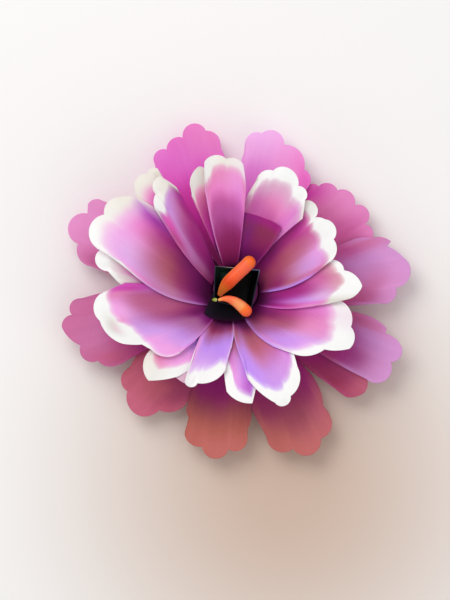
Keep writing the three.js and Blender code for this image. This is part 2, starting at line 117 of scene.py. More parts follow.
# One petal: its place in the stack, the angles of its foot, the lift of its clockwise and its
# other long edge, and its rim as corners (angle, mm from the middle, and how round the arc to
# the next corner is). Its paint is placed by pixels of the photograph's frame: body
# tones (x, y, tone), soft spots (x, y, half length and half width in mm, tone, strength), and
# points (x, y) of the white rim's inner border. Its ends give the border's depth in mm at the
# clockwise and the other long edge, where a depth under 0 leaves the rim unpainted. Edges are
# the tone that each long edge turns to (tone, width as a share of half the petal's, strength).
# Spots and edge tones are mostly painted highlights and painted shade, laid over the paper's own tint.
outerPetals = {
    "top_left": {
        "level": 0, "foot": (92, 122), "lift": (0, 0),
        "rim": [(91.5, 46), (95.8, 57.7, 0.24), (100.5, 65.3, 0.44), (109, 65, 0.26), (116, 63, 0.36),
                (122.5, 60, 0.1), (125, 50)],
        "body": [(226, 262, "wine"), (212, 215, "magenta"), (204, 190, "hotPink"),
                 (200, 172, "orchidPink"), (196, 155, "orchidPinkSoft"), (194, 140, "pink"),
                 (194, 130, "pink")],
        "tintLightShadeSpots": [(170, 150, 6, 4, "hotPink", 0.5), (160, 158, 5, 3, "orchidSoft", 0.7),
                  (172, 172, 7, 4, "orchidPink", 0.7), (214, 145, 8, 4, "pink", 0.6),
                  (184, 160, 9, 4, "orchidSoft", 0.4), (190, 196, 6, 5, "magenta", 0.5)],
        "edges": (("pink", 0.15, 0.4), ("orchidSoft", 0.15, 0.4)),
    },
    "top": {
        "level": 1, "foot": (56, 86), "lift": (1, 0.5),
        "rim": [(53, 45), (55, 49.5, 0.28), (60.5, 56, 0.25), (71.5, 61.8, 0.33), (80.5, 64, 0.36),
                (85.5, 57.5, 0.1), (87, 45)],
        "body": [(246, 262, "berry"), (256, 220, "magenta"), (262, 190, "orchid"),
                 (264, 172, "orchidSoft"), (266, 155, "candy"), (268, 140, "candyPale"),
                 (268, 132, "candyPale")],
        "tintLightShadeSpots": [(250, 155, 9, 4, "candyPale", 0.7), (252, 176, 7, 3, "orchid", 0.6),
                  (300, 172, 8, 3.5, "pink", 0.8), (296, 155, 6, 4, "candyPink", 0.6),
                  (306, 182, 4, 3, "hotPink", 0.6)],
        "edges": (("pink", 0.2, 0.5), ("candyPale", 0.15, 0.5)),
    },
    "top_right": {
        "level": 0, "foot": (20, 54), "lift": (-0.5, 0),
        "rim": [(17, 48), (21, 59, 0.25), (27, 58.5, 0.42), (35.5, 59, 0.3), (44.5, 57.5, 0.27),
                (51.5, 53.5, 0.33), (55, 50), (58, 42)],
        "body": [(256, 274, "wine"), (290, 250, "magentaRose"), (310, 232, "orchidRose"),
                 (325, 220, "roseMid"), (345, 205, "roseLight"), (355, 200, "roseLight")],
        "tintLightShadeSpots": [(310, 196, 6, 4, "magenta", 0.9), (330, 228, 6, 4, "orchidRose", 0.5),
                  (335, 195, 7, 5, "roseLight", 0.5), (362, 214, 4, 4, "roseLight", 0.7),
                  (345, 236, 7, 3, "magentaRose", 0.5)],
        "edges": (("rose", 0.15, 0.4), ("magenta", 0.2, 0.5)),
    },
    "right": {
        "level": 1, "foot": (-8, 22), "lift": (-0.5, 1.5),
        "rim": [(-8, 44), (-5, 58.5, 0.31), (1, 64.4, 0.35), (11.2, 68.7, 0.05), (16.3, 63.5),
                (17.5, 65.5, 0.13), (21, 59, 0.1), (23, 50)],
        "body": [(258, 286, "plum"), (300, 282, "wine"), (340, 276, "magentaRose"), (362, 270, "mauve"),
                 (384, 268, "mauveLight"), (402, 270, "mauveLight")],
        "tintLightShadeSpots": [(368, 258, 10, 3.4, "lilacGrey", 0.85), (352, 262, 7, 3, "lilacGrey", 0.6),
                  (365, 243, 9, 2.6, "rose", 0.85), (345, 250, 5, 3, "magentaRose", 0.6),
                  (362, 298, 8, 3, "raspberryPink", 0.8), (372, 285, 7, 3.5, "rose", 0.5),
                  (398, 274, 4, 6, "candyMauve", 0.6)],
        "edges": (("raspberryPink", 0.2, 0.5), ("roseMid", 0.1, 0.3)),
    },
    "lower_right": {
        "level": 2, "foot": (-38, -8), "lift": (1.5, 0.5),
        "rim": [(-36, 48), (-34, 63.5, 0.4), (-24.7, 68.6, 0.3), (-18.3, 69.8, 0.15), (-16.5, 62.8),
                (-14, 62.5, 0.1), (-10.8, 51)],
        "body": [(262, 304, "plum"), (310, 322, "wine"), (340, 335, "raspberryPink"),
                 (360, 343, "mauve"), (380, 350, "mauveLight"), (396, 353, "mauveLight")],
        "tintLightShadeSpots": [(364, 320, 9, 3, "rose", 0.85), (350, 316, 6, 3, "raspberryPink", 0.7),
                  (362, 357, 8, 2.4, "raspberryPink", 0.75), (375, 366, 7, 4, "mauveLight", 0.6),
                  (345, 350, 6, 4, "berry", 0.6), (370, 335, 8, 3, "lilacGrey", 0.5)],
        "edges": (("mauve", 0.15, 0.4), ("rose", 0.2, 0.6)),
    },
    "lower_right_back": {
        "level": 1, "foot": (-52, -34), "lift": (0, -1),
        "rim": [(-47, 44), (-45.5, 55.5, 0.2), (-38.5, 66, 0.22), (-32.5, 60, 0.1), (-28, 50)],
        "body": [(256, 308, "plum"), (300, 345, "berry"), (320, 360, "raspberry"),
                 (338, 373, "raspberryPink"), (352, 382, "raspberryPink"), (362, 388, "salmonRose")],
        "tintLightShadeSpots": [(318, 356, 6, 3, "berry", 0.7), (335, 382, 9, 2.2, "wineRed", 0.8),
                  (358, 384, 4, 3, "salmonRose", 0.6)],
        "edges": (("wineRed", 0.25, 0.6), ("raspberry", 0.2, 0.4)),
    },
    # The clay, terracotta and salmon of the lower petals are partly painted shade under the flower's cup
    # and painted warm light thrown back from the floor.
    "bottom_right": {
        "level": 0, "foot": (-82, -52), "lift": (0, 0),
        "rim": [(-84, 44), (-78, 60, 0.31), (-70, 67.6, 0.4), (-60, 68.6, 0.34), (-53.5, 59.5, 0.1),
                (-48, 44)],
        "body": [(244, 313, "plum"), (268, 372, "berry"), (278, 398, "raspberry"), (286, 415, "clay"),
                 (294, 432, "terracottaRose"), (300, 448, "salmon")],
        "tintLightShadeSpots": [(300, 372, 7, 4, "berry", 0.7), (318, 418, 6, 5, "salmonRose", 0.7),
                  (268, 415, 7, 5, "wine", 0.3), (275, 440, 6, 5, "terracotta", 0.7),
                  (306, 446, 4, 5, "salmon", 0.6)],
        "edges": (("wine", 0.1, 0.2), ("raspberry", 0.1, 0.2)),
    },
    "bottom": {
        "level": 1, "foot": (-112, -84), "lift": (0, 0.5),
        "rim": [(-113.2, 46, 0.15), (-110, 54.6, 0.36), (-102, 64.2, 0.4), (-92.5, 63.8, 0.4),
                (-86, 57.2, 0.16), (-84, 44)],
        "body": [(232, 313, "plum"), (224, 370, "berry"), (220, 392, "raspberryDark"),
                 (218, 410, "clayDark"), (217, 428, "terracotta"), (216, 450, "salmonTerra")],
        "tintLightShadeSpots": [(212, 385, 6, 6, "berry", 0.6), (240, 420, 8, 3, "terracotta", 0.4),
                  (192, 430, 6, 4, "terracotta", 0.6), (215, 452, 4, 5, "salmon", 0.5)],
        "edges": (("terracotta", 0.1, 0.15), ("terracotta", 0.1, 0.15)),
    },
    "bottom_left": {
        "level": 0, "foot": (-146, -116), "lift": (0, 0),
        "rim": [(-149, 44), (-144, 52.5, 0.32), (-137, 59.3, 0.24), (-126, 62.6, 0.1),
                (-122.5, 57, 0.25), (-113.5, 45)],
        "body": [(222, 309, "plum"), (188, 358, "berry"), (176, 375, "raspberry"),
                 (164, 388, "roseClay"), (152, 400, "roseClay"), (145, 410, "salmonRose")],
        "tintLightShadeSpots": [(182, 395, 6, 5, "raspberry", 0.8), (138, 372, 6, 4, "salmonRose", 0.6),
                  (136, 395, 5, 4, "salmonRose", 0.5), (160, 412, 4, 4, "roseRed", 0.6),
                  (146, 358, 6, 3, "roseRed", 0.5)],
        "edges": (("roseClay", 0.15, 0.4), ("raspberry", 0.2, 0.5)),
    },
    "left": {
        "level": 1, "foot": (182, 210), "lift": (0, 0.5),
        "rim": [(180, 50), (183, 62.5, 0.35), (188.5, 66.3, 0.22), (191.9, 71.2, 0.1),
                (199.5, 66, 0.34), (207, 62, 0.27), (211.5, 52), (213, 44)],
        "body": [(214, 302, "plum"), (150, 325, "berry"), (125, 330, "magentaRose"),
                 (105, 331, "mauveRose"), (85, 332, "mauveRose"), (68, 328, "rose")],
        "tintLightShadeSpots": [(90, 305, 7, 4, "roseMid", 0.8), (115, 352, 9, 3, "raspberryPink", 0.85),
                  (95, 340, 7, 5, "mauveSoft", 0.6), (112, 358, 5, 2.5, "roseRed", 0.6),
                  (76, 322, 5, 5, "rose", 0.5)],
        "edges": (("roseMid", 0.15, 0.5), ("raspberryPink", 0.15, 0.5)),
    },
    "upper_left": {
        "level": 0, "foot": (146, 174), "lift": (0, 0),
        "rim": [(143, 50), (146, 64.8, 0.2), (149.5, 68.7), (152.5, 67, 0.46), (163.5, 66, 0.24),
                (170.5, 59), (173, 48)],
        "body": [(214, 290, "plum"), (150, 268, "berry"), (120, 256, "rose"), (100, 246, "pinkMid"),
                 (85, 236, "pinkSoft"), (74, 230, "pinkSoft")],
        "tintLightShadeSpots": [(96, 206, 5, 5, "pinkSoft", 0.8), (90, 250, 6, 4, "pinkMid", 0.6),
                  (98, 265, 6, 2.5, "roseDeep", 0.8), (84, 224, 5, 5, "candyPink", 0.5)],
        "edges": (("pinkSoft", 0.2, 0.4), ("roseMid", 0.15, 0.5)),
    },
}

over, under = 3.0, -1.5  # lift of a long edge that lies over its neighbour, or under it, in mm
# The night, plum and wine tones near each petal's foot, and over most of north_fold, are partly the paper's
# deep colour and partly painted shade of the flower's deep middle.
innerPetals = {
    # Stone and cream in a body or a white rim are painted shade on the white dip.
    "north": {
        "level": 10, "foot": (84, 118), "lift": (over, over), "belly": (0.2, 0.9),
        "rim": [(84, 40), (86.5, 50, 0.2), (94, 52.5, 0.25), (103.5, 52.5), (106.5, 42)],
        "body": [(229, 271, "night"), (230, 262, "wine"), (230, 250, "wine"), (230, 236, "wine"),
                 (229, 224, "raspberryDark"), (228, 214, "dustyOrchid"), (226, 202, "orchidRose"),
                 (225, 188, "pink"), (223, 176, "rosePink"), (222, 166, "rosePink")],
        "tintLightShadeSpots": [(240, 200, 9, 1.6, "orchid", 0.6), (208, 205, 12, 1.5, "candy", 0.6),
                  (233, 216, 4, 3, "dustyOrchid", 0.7), (218, 226, 5, 2.5, "dustyOrchid", 0.5),
                  (238, 182, 6, 2.5, "candy", 0.6)],
        "edges": (("orchid", 0.14, 0.6), ("candy", 0.1, 0.8)),
        "white": {"border": [(242.5, 173), (236, 168), (230, 165), (225, 164), (218, 165), (214, 168),
                             (210, 175), (207, 181)],
                  "ends": (-2.5, -2.5),
                  "soft": 1.8, "tones": ("blushWhite", "blushWhite", "cream", "white", "cream")},
    },
    "north_fold": {
        "level": 9, "foot": (58, 84), "lift": (2, 0),
        "rim": [(54, 31, 0.07), (85, 31)],
        "body": [(244, 268, "night"), (252, 252, "plum"), (258, 240, "wine"), (262, 230, "wineBrown"),
                 (264, 222, "berry")],
        "tintLightShadeSpots": [(248, 235, 8, 2.5, "purpleDark", 0.7), (262, 238, 6, 4, "wineBrown", 0.5)],
        "edges": (("dustyOrchid", 0.12, 0.4), ("purpleDark", 0.3, 0.6)),
    },
    "north_east": {
        "level": 8, "foot": (48, 90), "lift": (over, under), "belly": (-1.5, 1.6),
        "rim": [(47, 39), (52.5, 45.5, 0.32), (59, 48.5, 0.2), (68, 53, 0.15), (72.5, 50, 0.24),
                (79, 45), (82, 39.8), (84, 36)],
        "body": [(247, 268, "plum"), (256, 250, "wine"), (264, 232, "magentaRose"),
                 (268, 216, "orchidRose"), (271, 202, "rosePink"), (274, 190, "blushGrey")],
        "tintLightShadeSpots": [(252, 208, 7, 3, "dustyOrchid", 0.8), (292, 215, 6, 2.2, "orchid", 0.9),
                  (276, 234, 8, 2, "orchid", 0.8), (262, 250, 6, 1.6, "dustyOrchid", 0.6),
                  (286, 202, 5, 4, "pink", 0.6), (290, 192, 4, 4, "blushGrey", 0.6)],
        "edges": (("orchid", 0.16, 0.7), ("dustyOrchid", 0.3, 0.6)),
        "white": {"border": [(303, 206), (297, 200), (292, 194), (291, 184), (280, 180), (268, 178),
                             (261, 182), (256, 188), (253, 194)],
                  "ends": (None, -2),
                  "soft": 1.7, "tones": ("cream",) + ("white",) * 4 + ("cream", "white")},
    },
    "east_upper": {
        "level": 7, "foot": (-6, 58), "lift": (over, under),
        "rim": [(10, 30), (17, 39, 0.23), (27.5, 44, 0.3), (38.5, 45.5, 0.1), (42.5, 43, 0.35),
                (52, 45.5), (62, 34)],
        "body": [(254, 280, "night"), (264, 274, "wineBrown"), (278, 265, "wine"), (292, 255, "clay"),
                 (304, 244, "dustyRose"), (313, 238, "rose")],
        "tintLightShadeSpots": [(300, 226, 7, 3, "magenta", 0.9), (284, 240, 8, 3, "berry", 0.9),
                  (268, 256, 8, 3, "plum", 0.9), (288, 262, 9, 3.5, "clay", 0.7),
                  (300, 255, 6, 4, "dustyRose", 0.6), (318, 254, 6, 3, "candy", 0.9),
                  (305, 268, 8, 3, "lilac", 0.7), (307, 212, 4, 4, "rosePink", 0.6)],
        "edges": (("lavender", 0.16, 0.95), ("berry", 0.35, 0.5)),
        "white": {"border": [(326, 255), (320, 243), (314, 230), (312, 222), (309, 215), (305, 210)],
                  "ends": (-5, None),
                  "soft": 1.5, "tones": ("blushWhite", "white", "white", "white", "stone", "cream")},
    },
    "east": {
        "level": 6, "foot": (-38, 6), "lift": (over, under),
        "rim": [(-10, 33), (-4.5, 44.5, 0.13), (2, 50.5, 0.15), (10.5, 44, 0.29), (17.5, 38), (23, 33)],
        "body": [(260, 301, "night"), (274, 297, "plum"), (290, 292, "berry"),
                 (306, 285, "magentaRose"), (320, 279, "rosePink"), (332, 276, "beigePink")],
        "tintLightShadeSpots": [(307, 299, 7, 1.8, "lavender", 0.95), (322, 294, 6, 2, "paleLilac", 1),
                  (290, 302, 6, 1.4, "lilac", 0.4), (303, 291, 8, 1.2, "dustyRose", 0.4),
                  (292, 290, 8, 2.5, "berry", 0.8), (316, 276, 5, 2, "orchid", 0.6),
                  (333, 266, 2, 1.4, "cream", 0.6), (338, 280, 5, 3, "beigePink", 0.8),
                  (330, 274, 5, 2.5, "beigePink", 0.5), (318, 276, 6, 2.5, "magentaRose", 0.6),
                  (316, 303, 8, 1.4, "orchid", 0.8)],
        "edges": (("orchid", 0.16, 0.8), ("magenta", 0.3, 0.5)),
        "white": {"border": [(330, 297), (333, 294), (336, 292), (340, 287), (347, 286), (346, 282),
                             (343, 277), (340, 272), (337, 268), (333, 263)],
                  "ends": (-3, None),
                  "soft": 1.3, "tones": ("stone",) * 4 + ("white",) * 6 + ("cream",)},
    },
    "south_east": {
        "level": 5, "foot": (-76, -26), "lift": (over, under),
        "rim": [(-56, 27), (-48, 33.5, 0.14), (-33.5, 42.5, 0.06), (-27.1, 51, 0.21),
                (-17.5, 48.2, 0.27), (-5, 38.5), (2, 33)],
        "body": [(246, 314, "night"), (258, 317, "wineBrown"), (272, 321, "clay"), (292, 322, "clay"),
                 (309, 321, "salmonPink"), (322, 320, "rosePink"), (330, 319, "blush")],
        "tintLightShadeSpots": [(262, 309, 9, 2, "plum", 0.9), (288, 309, 9, 2, "berry", 0.8),
                  (312, 306, 8, 2, "orchid", 0.8), (328, 304, 5, 2, "candy", 0.8),
                  (268, 328, 6, 4, "wineBrown", 0.6), (276, 339, 9, 3, "lavender", 0.7),
                  (296, 342, 9, 4, "lavender", 0.85), (315, 338, 8, 4, "lilac", 0.8),
                  (310, 348, 6, 2.5, "candy", 0.6), (318, 328, 7, 3, "rosePink", 0.6)],
        "edges": (("lavender", 0.2, 0.8), ("magentaRose", 0.16, 0.5)),
        "white": {"border": [(296, 351), (305, 349), (316, 345), (330, 341), (334, 332), (334, 322),
                             (335, 314), (333, 306), (329, 300)],
                  "ends": (-4, None),
                  "soft": 2, "tones": ("white",) * 5 + ("blushWhite",) + ("white",) * 2},
    },
    "south_right": {
        "level": 4, "foot": (-97, -62), "lift": (over, under),
        "rim": [(-83, 28), (-81.5, 36, 0.06), (-70.5, 47.5, 0.4), (-62.5, 47.5, 0.19), (-51, 39.3),
                (-42, 29)],
        "body": [(242, 326, "night"), (245, 333, "wineBrown"), (250, 338, "brownRose"),
                 (258, 349, "clay"), (265, 360, "mauve"), (270, 372, "lavender"),
                 (274, 382, "lavender")],
        "tintLightShadeSpots": [(244, 350, 8, 2, "lavender", 0.75), (249, 366, 6, 2, "lavender", 0.8),
                  (280, 346, 7, 3.5, "magentaRose", 0.8), (286, 356, 5, 3, "orchid", 0.8),
                  (283, 368, 5, 4, "lilac", 0.7), (264, 342, 7, 3.5, "dustyRose", 0.6)],
        "edges": (("lilac", 0.12, 0.7), ("orchid", 0.2, 0.6)),
        "white": {"border": [(250, 376), (256, 382), (265, 388), (274, 391), (284, 387), (289, 378),
                             (291, 368), (292, 358)],
                  "ends": (-5, None),
                  "soft": 1.6, "tones": ("white", "white", "white", "white")},
    },
    "south_left": {
        "level": 3, "foot": (-134, -98), "lift": (1.5, over),
        "rim": [(-122, 32), (-119, 41.5, 0.4), (-112.5, 40, 0.15), (-98, 32.5), (-97, 26)],
        "body": [(222, 323, "night"), (218, 332, "wineBrown"), (216, 336, "dustyMauve"),
                 (211, 348, "lavender"), (207, 358, "lilac"), (204, 368, "paleLilac")],
        "tintLightShadeSpots": [(196, 350, 8, 2, "candy", 0.9), (190, 366, 5, 2, "candy", 0.8),
                  (225, 348, 6, 1.6, "lavender", 0.8), (219, 352, 6, 2.6, "lavender", 0.5)],
        "edges": (("orchid", 0.2, 0.7), ("paleLilac", 0.12, 0.7)),
        "white": {"border": [(188, 376), (195, 371), (204, 371), (214, 367), (220, 362)],
                  "ends": (None, -5),
                  "soft": 1.6, "tones": ("white", "white", "white")},
    },
    "south": {
        "level": 2, "foot": (-112, -80), "lift": (under, under),
        "rim": [(-99, 31), (-95, 40.5, 0.13), (-81.5, 45.5), (-74, 34)],
        "body": [(235, 327, "night"), (235, 335, "wine"), (235, 344, "clay"), (237, 358, "mauve"),
                 (239, 372, "lilac"), (241, 384, "lilac")],
        "tintLightShadeSpots": [(244, 378, 8, 2, "lavender", 0.9), (249, 386, 5, 1.6, "violet", 0.9),
                  (231, 372, 8, 2.6, "candy", 0.8), (228, 352, 6, 2, "dustyOrchid", 0.6)],
        "edges": (("paleLilac", 0.12, 0.5), ("violet", 0.25, 0.8)),
        "white": {"border": [(228, 362), (231, 372), (234, 384), (240, 391), (247, 396), (252, 398)],
                  "soft": 1.5, "tones": ("white", "white", "white")},
    },
    "south_west": {
        "level": 1, "foot": (-160, -120), "lift": (under, 0),
        "rim": [(-154, 34), (-145, 41.5, 0.21), (-134, 50, 0.04), (-123.5, 41), (-116, 32)],
        "body": [(208, 322, "plum"), (198, 332, "wine"), (192, 340, "lavender"), (184, 348, "lilac"),
                 (174, 356, "candy"), (164, 362, "candy")],
        "tintLightShadeSpots": [(158, 360, 4, 3, "salmonPink", 0.85), (190, 352, 6, 3, "candy", 0.8),
                  (176, 352, 6, 2, "candy", 0.6), (200, 340, 5, 2, "lavender", 0.7)],
        "edges": (("rose", 0.25, 0.6), ("candy", 0.2, 0.6)),
        "white": {"border": [(154, 352), (153, 360), (157, 367), (165, 368), (176, 367), (186, 364),
                             (196, 360)],
                  "soft": 1.6, "tones": ("white", "cream", "white", "white")},
    },
    "south_west_back": {
        "level": 0, "foot": (-132, -110), "lift": (under, under),
        "rim": [(-131, 36), (-128, 41.5, 0.08), (-116, 42), (-112, 35)],
        "body": [(210, 330, "wine"), (196, 350, "dustyRose"), (186, 366, "blushGrey"),
                 (181, 378, "blushGrey")],
        "tintLightShadeSpots": [],
        "edges": (("stone", 0.2, 0.3), ("stone", 0.2, 0.3)),
    },
    "west": {
        "level": 4, "foot": (198, 230), "lift": (0, over),
        "rim": [(176, 44), (181.5, 54, 0.24), (192.5, 55.5, 0.13), (205.5, 49.5, 0.03), (210, 43),
                (215, 41, 0.23), (228, 32)],
        "body": [(214, 310, "night"), (200, 316, "plum"), (186, 318, "dustyMauve"), (168, 320, "mauve"),
                 (148, 318, "lilac"), (132, 316, "lilac"), (118, 312, "candy")],
        "tintLightShadeSpots": [(128, 288, 10, 2.4, "magenta", 0.9), (156, 297, 12, 2.2, "purple", 0.9),
                  (182, 309, 10, 2.4, "plum", 0.95), (118, 295, 6, 2.6, "rosePink", 0.8),
                  (142, 300, 10, 3, "dustyRose", 0.9), (168, 308, 9, 3, "dustyRose", 0.85),
                  (180, 333, 9, 4, "lavender", 0.8), (160, 334, 9, 4, "lilac", 0.6),
                  (150, 340, 8, 3, "candy", 0.8), (168, 350, 7, 2.5, "candy", 0.8),
                  (117, 313, 5, 2.4, "candyPale", 0.8), (119, 322, 2.5, 1.4, "rosePink", 0.6),
                  (112, 308, 4, 2.5, "candy", 0.8), (190, 322, 6, 3, "dustyMauve", 0.7)],
        "edges": (("magenta", 0.14, 0.7), ("orchid", 0.08, 0.5)),
        "white": {"border": [(105, 293), (108, 300), (110, 307), (113, 315), (117, 323), (120, 326),
                             (124, 325), (132, 329), (138, 336), (144, 342), (152, 350)],
                  "ends": (-5, None),
                  "soft": 1.3, "tones": ("beigePink",) + ("white",) * 6,
                  "tintLightShadeSpots": [(111, 325, 2.2, 2.4, "stone", 0.95), (117, 329, 1.2, 1.4, "blush", 0.6)]},
    },
    "west_back": {
        "level": 3, "foot": (170, 208), "lift": (under, under),
        "rim": [(160, 48), (163.5, 56.5, 0.38), (171, 52), (177, 46), (181, 38)],
        "body": [(210, 300, "plum"), (180, 292, "berry"), (150, 282, "magenta"),
                 (132, 276, "blushGrey"), (120, 272, "stone"), (110, 266, "cream")],
        "tintLightShadeSpots": [(126, 273, 8, 1.8, "hotPink", 0.6), (144, 281, 8, 1.6, "magenta", 0.7),
                  (118, 272, 5, 3, "stone", 0.7), (130, 278, 4, 1.6, "stone", 0.5)],
        "edges": (("magenta", 0.3, 0.4), ("cream", 0.3, 0.5)),
        "white": {"border": [(112, 256), (110, 262), (112, 270), (116, 276), (120, 281)],
                  "soft": 2.4, "tones": ("white", "white", "cream")},
    },
    "north_west": {
        "level": 5, "foot": (154, 224), "lift": (under, over), "belly": (-2.6, 5),
        "rim": [(134.3, 45, 0.05), (137.5, 55.5, 0.05), (141.6, 59.9, 0.22), (150, 60.5, 0.38),
                (163, 56.5), (165.9, 46.8)],
        "body": [(208, 293, "night"), (194, 286, "plum"), (180, 277, "wine"), (168, 268, "clay"),
                 (152, 250, "rose"), (138, 234, "pink"), (122, 222, "candy"), (110, 212, "blush")],
        "tintLightShadeSpots": [(118, 243, 9, 4, "candy", 0.8), (128, 256, 8, 3, "paleLilac", 0.6),
                  (148, 274, 10, 3, "lilac", 0.55), (172, 292, 10, 2, "lilac", 0.5),
                  (145, 207, 7, 2.4, "violet", 0.7), (160, 225, 8, 3, "purple", 0.8),
                  (174, 245, 9, 3, "berry", 0.85), (190, 265, 9, 4, "plum", 0.85),
                  (165, 272, 9, 5, "clay", 0.45)],
        "edges": (("purple", 0.22, 0.85), ("lilac", 0.1, 0.75)),
        "white": {"border": [(153, 207), (140, 201), (134, 197), (128, 206), (118, 214), (108, 222),
                             (101, 232), (102, 244), (108, 253)],
                  "ends": (-3, None),
                  "soft": 4.5, "tones": ("cream", "cream", "white", "white")},
    },
    "north_west_back": {
        "level": 2, "foot": (140, 166), "lift": (under, under),
        "rim": [(122, 48), (123, 55.2, 0.5), (127, 58.5, 0.25), (135, 57), (141, 48)],
        "body": [(208, 284, "plum"), (190, 262, "magenta"), (176, 240, "hotPink"), (160, 212, "pink"),
                 (148, 194, "blush"), (144, 180, "cream")],
        "tintLightShadeSpots": [(156, 197, 4, 2, "hotPink", 0.9), (152, 203, 5, 3, "pink", 0.6)],
        "edges": (("hotPink", 0.3, 0.4), ("cream", 0.2, 0.5)),
        "white": {"border": [(159, 178), (150, 184), (140, 192), (137, 197)],
                  "soft": 4, "tones": ("cream", "cream")},
    },
    "north_upper_left": {
        "level": 6, "foot": (136, 168), "lift": (under, over), "belly": (1, 1.6),
        "rim": [(119.8, 47.5), (121.5, 51), (123.5, 54.5, 0.33), (129, 50, 0.28), (133, 41)],
        "body": [(214, 278, "wine"), (206, 262, "raspberry"), (196, 240, "dustyPurple"),
                 (188, 222, "dustyRose"), (180, 205, "dustyRose"), (174, 194, "mauve"),
                 (168, 184, "stone")],
        "tintLightShadeSpots": [(171, 212, 10, 2.6, "lilac", 0.9), (180, 236, 9, 2.5, "lilac", 0.7),
                  (191, 252, 7, 3, "mauve", 0.8), (203, 265, 6, 2.5, "mauve", 0.5),
                  (208, 256, 8, 2.5, "plum", 0.85), (171, 226, 7, 1.2, "hotPink", 0.95),
                  (179, 242, 6, 1, "magentaRose", 0.9), (192, 225, 8, 3.4, "dustyRose", 0.5),
                  (200, 243, 10, 2.4, "berry", 0.85), (190, 214, 9, 2, "berry", 0.8),
                  (186, 204, 5, 1.6, "magenta", 0.6)],
        "edges": (("plum", 0.35, 0.8), ("hotPink", 0.07, 0.7)),
        "white": {"border": [(176, 188), (168, 183), (166, 190), (166, 200), (166, 208), (165, 214),
                             (160, 212), (154, 209)],
                  "ends": (None, -3),
                  "soft": 1.4, "tones": ("stone", "cream", "white", "white")},
    },
    "north_left": {
        "level": 7, "foot": (98, 118), "lift": (under, over), "belly": (1.6, 0),
        "rim": [(95, 38), (103.5, 48, 0.2), (106.5, 51.5, 0.17), (113.5, 44, 0.1), (114.2, 40)],
        "body": [(226, 268, "night"), (217, 248, "plum"), (212, 234, "magenta"),
                 (206, 218, "magentaRose"), (201, 205, "rose"), (198, 193, "rosePink"),
                 (197, 182, "cream")],
        "tintLightShadeSpots": [(208, 224, 6, 1.6, "magenta", 0.6)],
        "edges": (("magenta", 0.3, 0.3), ("roseMid", 0.1, 0.6)),
        "white": {"border": [(203, 186), (200, 185), (196, 187), (193, 191)],
                  "ends": (None, -3),
                  "soft": 2.6, "tones": ("cream", "stone", "white")},
    },
}


def linear(colour):
    # Each channel from 0-255 to the light it stands for: ((c + 0.055) / 1.055) ^ 2.4, and a
    # straight line below the toe.
    share = np.asarray(colour, dtype=float) / 255
    return np.where(share <= 0.04045, share / 12.92, ((share + 0.055) / 1.055) ** 2.4)


def linearRgba(colour):
    return (*linear(colour), 1.0)


def polar(angle, radius):
    turn = np.radians(angle)
    return np.stack([radius * np.cos(turn), radius * np.sin(turn)], axis=-1)


def rimLine(rim, steps, stretchSteps=None):
    # Points along the rim: between two corners it is an arc whose height is roundness times
    # its chord. Also how far along the rim each point lies, and how near a lobe's crown,
    # as sin(pi * share)^2 of its arc times the arc's roundness. The arcs share the steps by
    # their lengths, unless each has stretchSteps of its own.
    corners = polar([c[0] for c in rim], np.array([c[1] for c in rim], dtype=float))
    roundness = [c[2] if len(c) > 2 else 0.0 for c in rim[:-1]]
    chords = corners[1:] - corners[:-1]
    lengths = np.linalg.norm(chords, axis=1)
    counts = np.maximum(form["leastArcSteps"], np.round(steps * lengths / lengths.sum()).astype(int))
    if stretchSteps:
        counts = np.full(len(chords), stretchSteps)
    points, across, crowns, travelled = [], [], [], 0.0
    for start, chord, length, bulge, count in zip(corners, chords, lengths, roundness, counts):
        share = np.arange(count) / count
        along = chord / length
        outward = np.array([along[1], -along[0]])
        halfAngle = 2 * math.atan(2 * max(bulge, form["leastRoundness"]))
        radius = length / 2 / math.sin(halfAngle)
        turn = halfAngle * (2 * share - 1)
        forward = length / 2 + radius * np.sin(turn)
        height = radius * (np.cos(turn) - math.cos(halfAngle))
        points.append(start + forward[:, None] * along + height[:, None] * outward)
        across.append(travelled + length * share)
        crowns.append(np.sin(np.pi * share) ** 2 * bulge)
        travelled += length
    points.append(corners[-1:])
    across.append([travelled])
    crowns.append([0.0])
    return np.concatenate(points), np.concatenate(across) / travelled, np.concatenate(crowns)


def outerHeight(radius):
    # the share of the way from the plug to the reach, to the power of the curve
    share = np.clip((radius - stack["footRadius"]) / (form["outerReach"] - stack["footRadius"]), 0, None)
    return form["outerRise"] * share ** form["outerCurve"]


def innerHeight(radius):
    # a quarter sine wave from the plug to the reach
    share = np.clip((radius - stack["footRadius"]) / (form["innerReach"] - stack["footRadius"]), 0, 1)
    return form["innerRise"] * np.sin(share * np.pi / 2)


def smoothPiece(name, mesh):
    mesh.polygons.foreach_set("use_smooth", np.ones(len(mesh.polygons), dtype=bool))
    mesh.update()
    piece = bpy.data.objects.new(name, mesh)
    bpy.context.scene.collection.objects.link(piece)
    return piece


def gridMesh(name, points):
    # one quad between each four neighbours of a rows by columns grid
    rows, columns = points.shape[:2]
    index = np.arange(rows * columns).reshape(rows, columns)
    corners = [index[:-1, :-1], index[1:, :-1], index[1:, 1:], index[:-1, 1:]]
    quads = np.stack(corners, axis=-1).reshape(-1, 4)
    mesh = bpy.data.meshes.new(name)
    mesh.from_pydata((points.reshape(-1, 3) * mm).tolist(), [], quads.tolist())
    return smoothPiece(name, mesh)


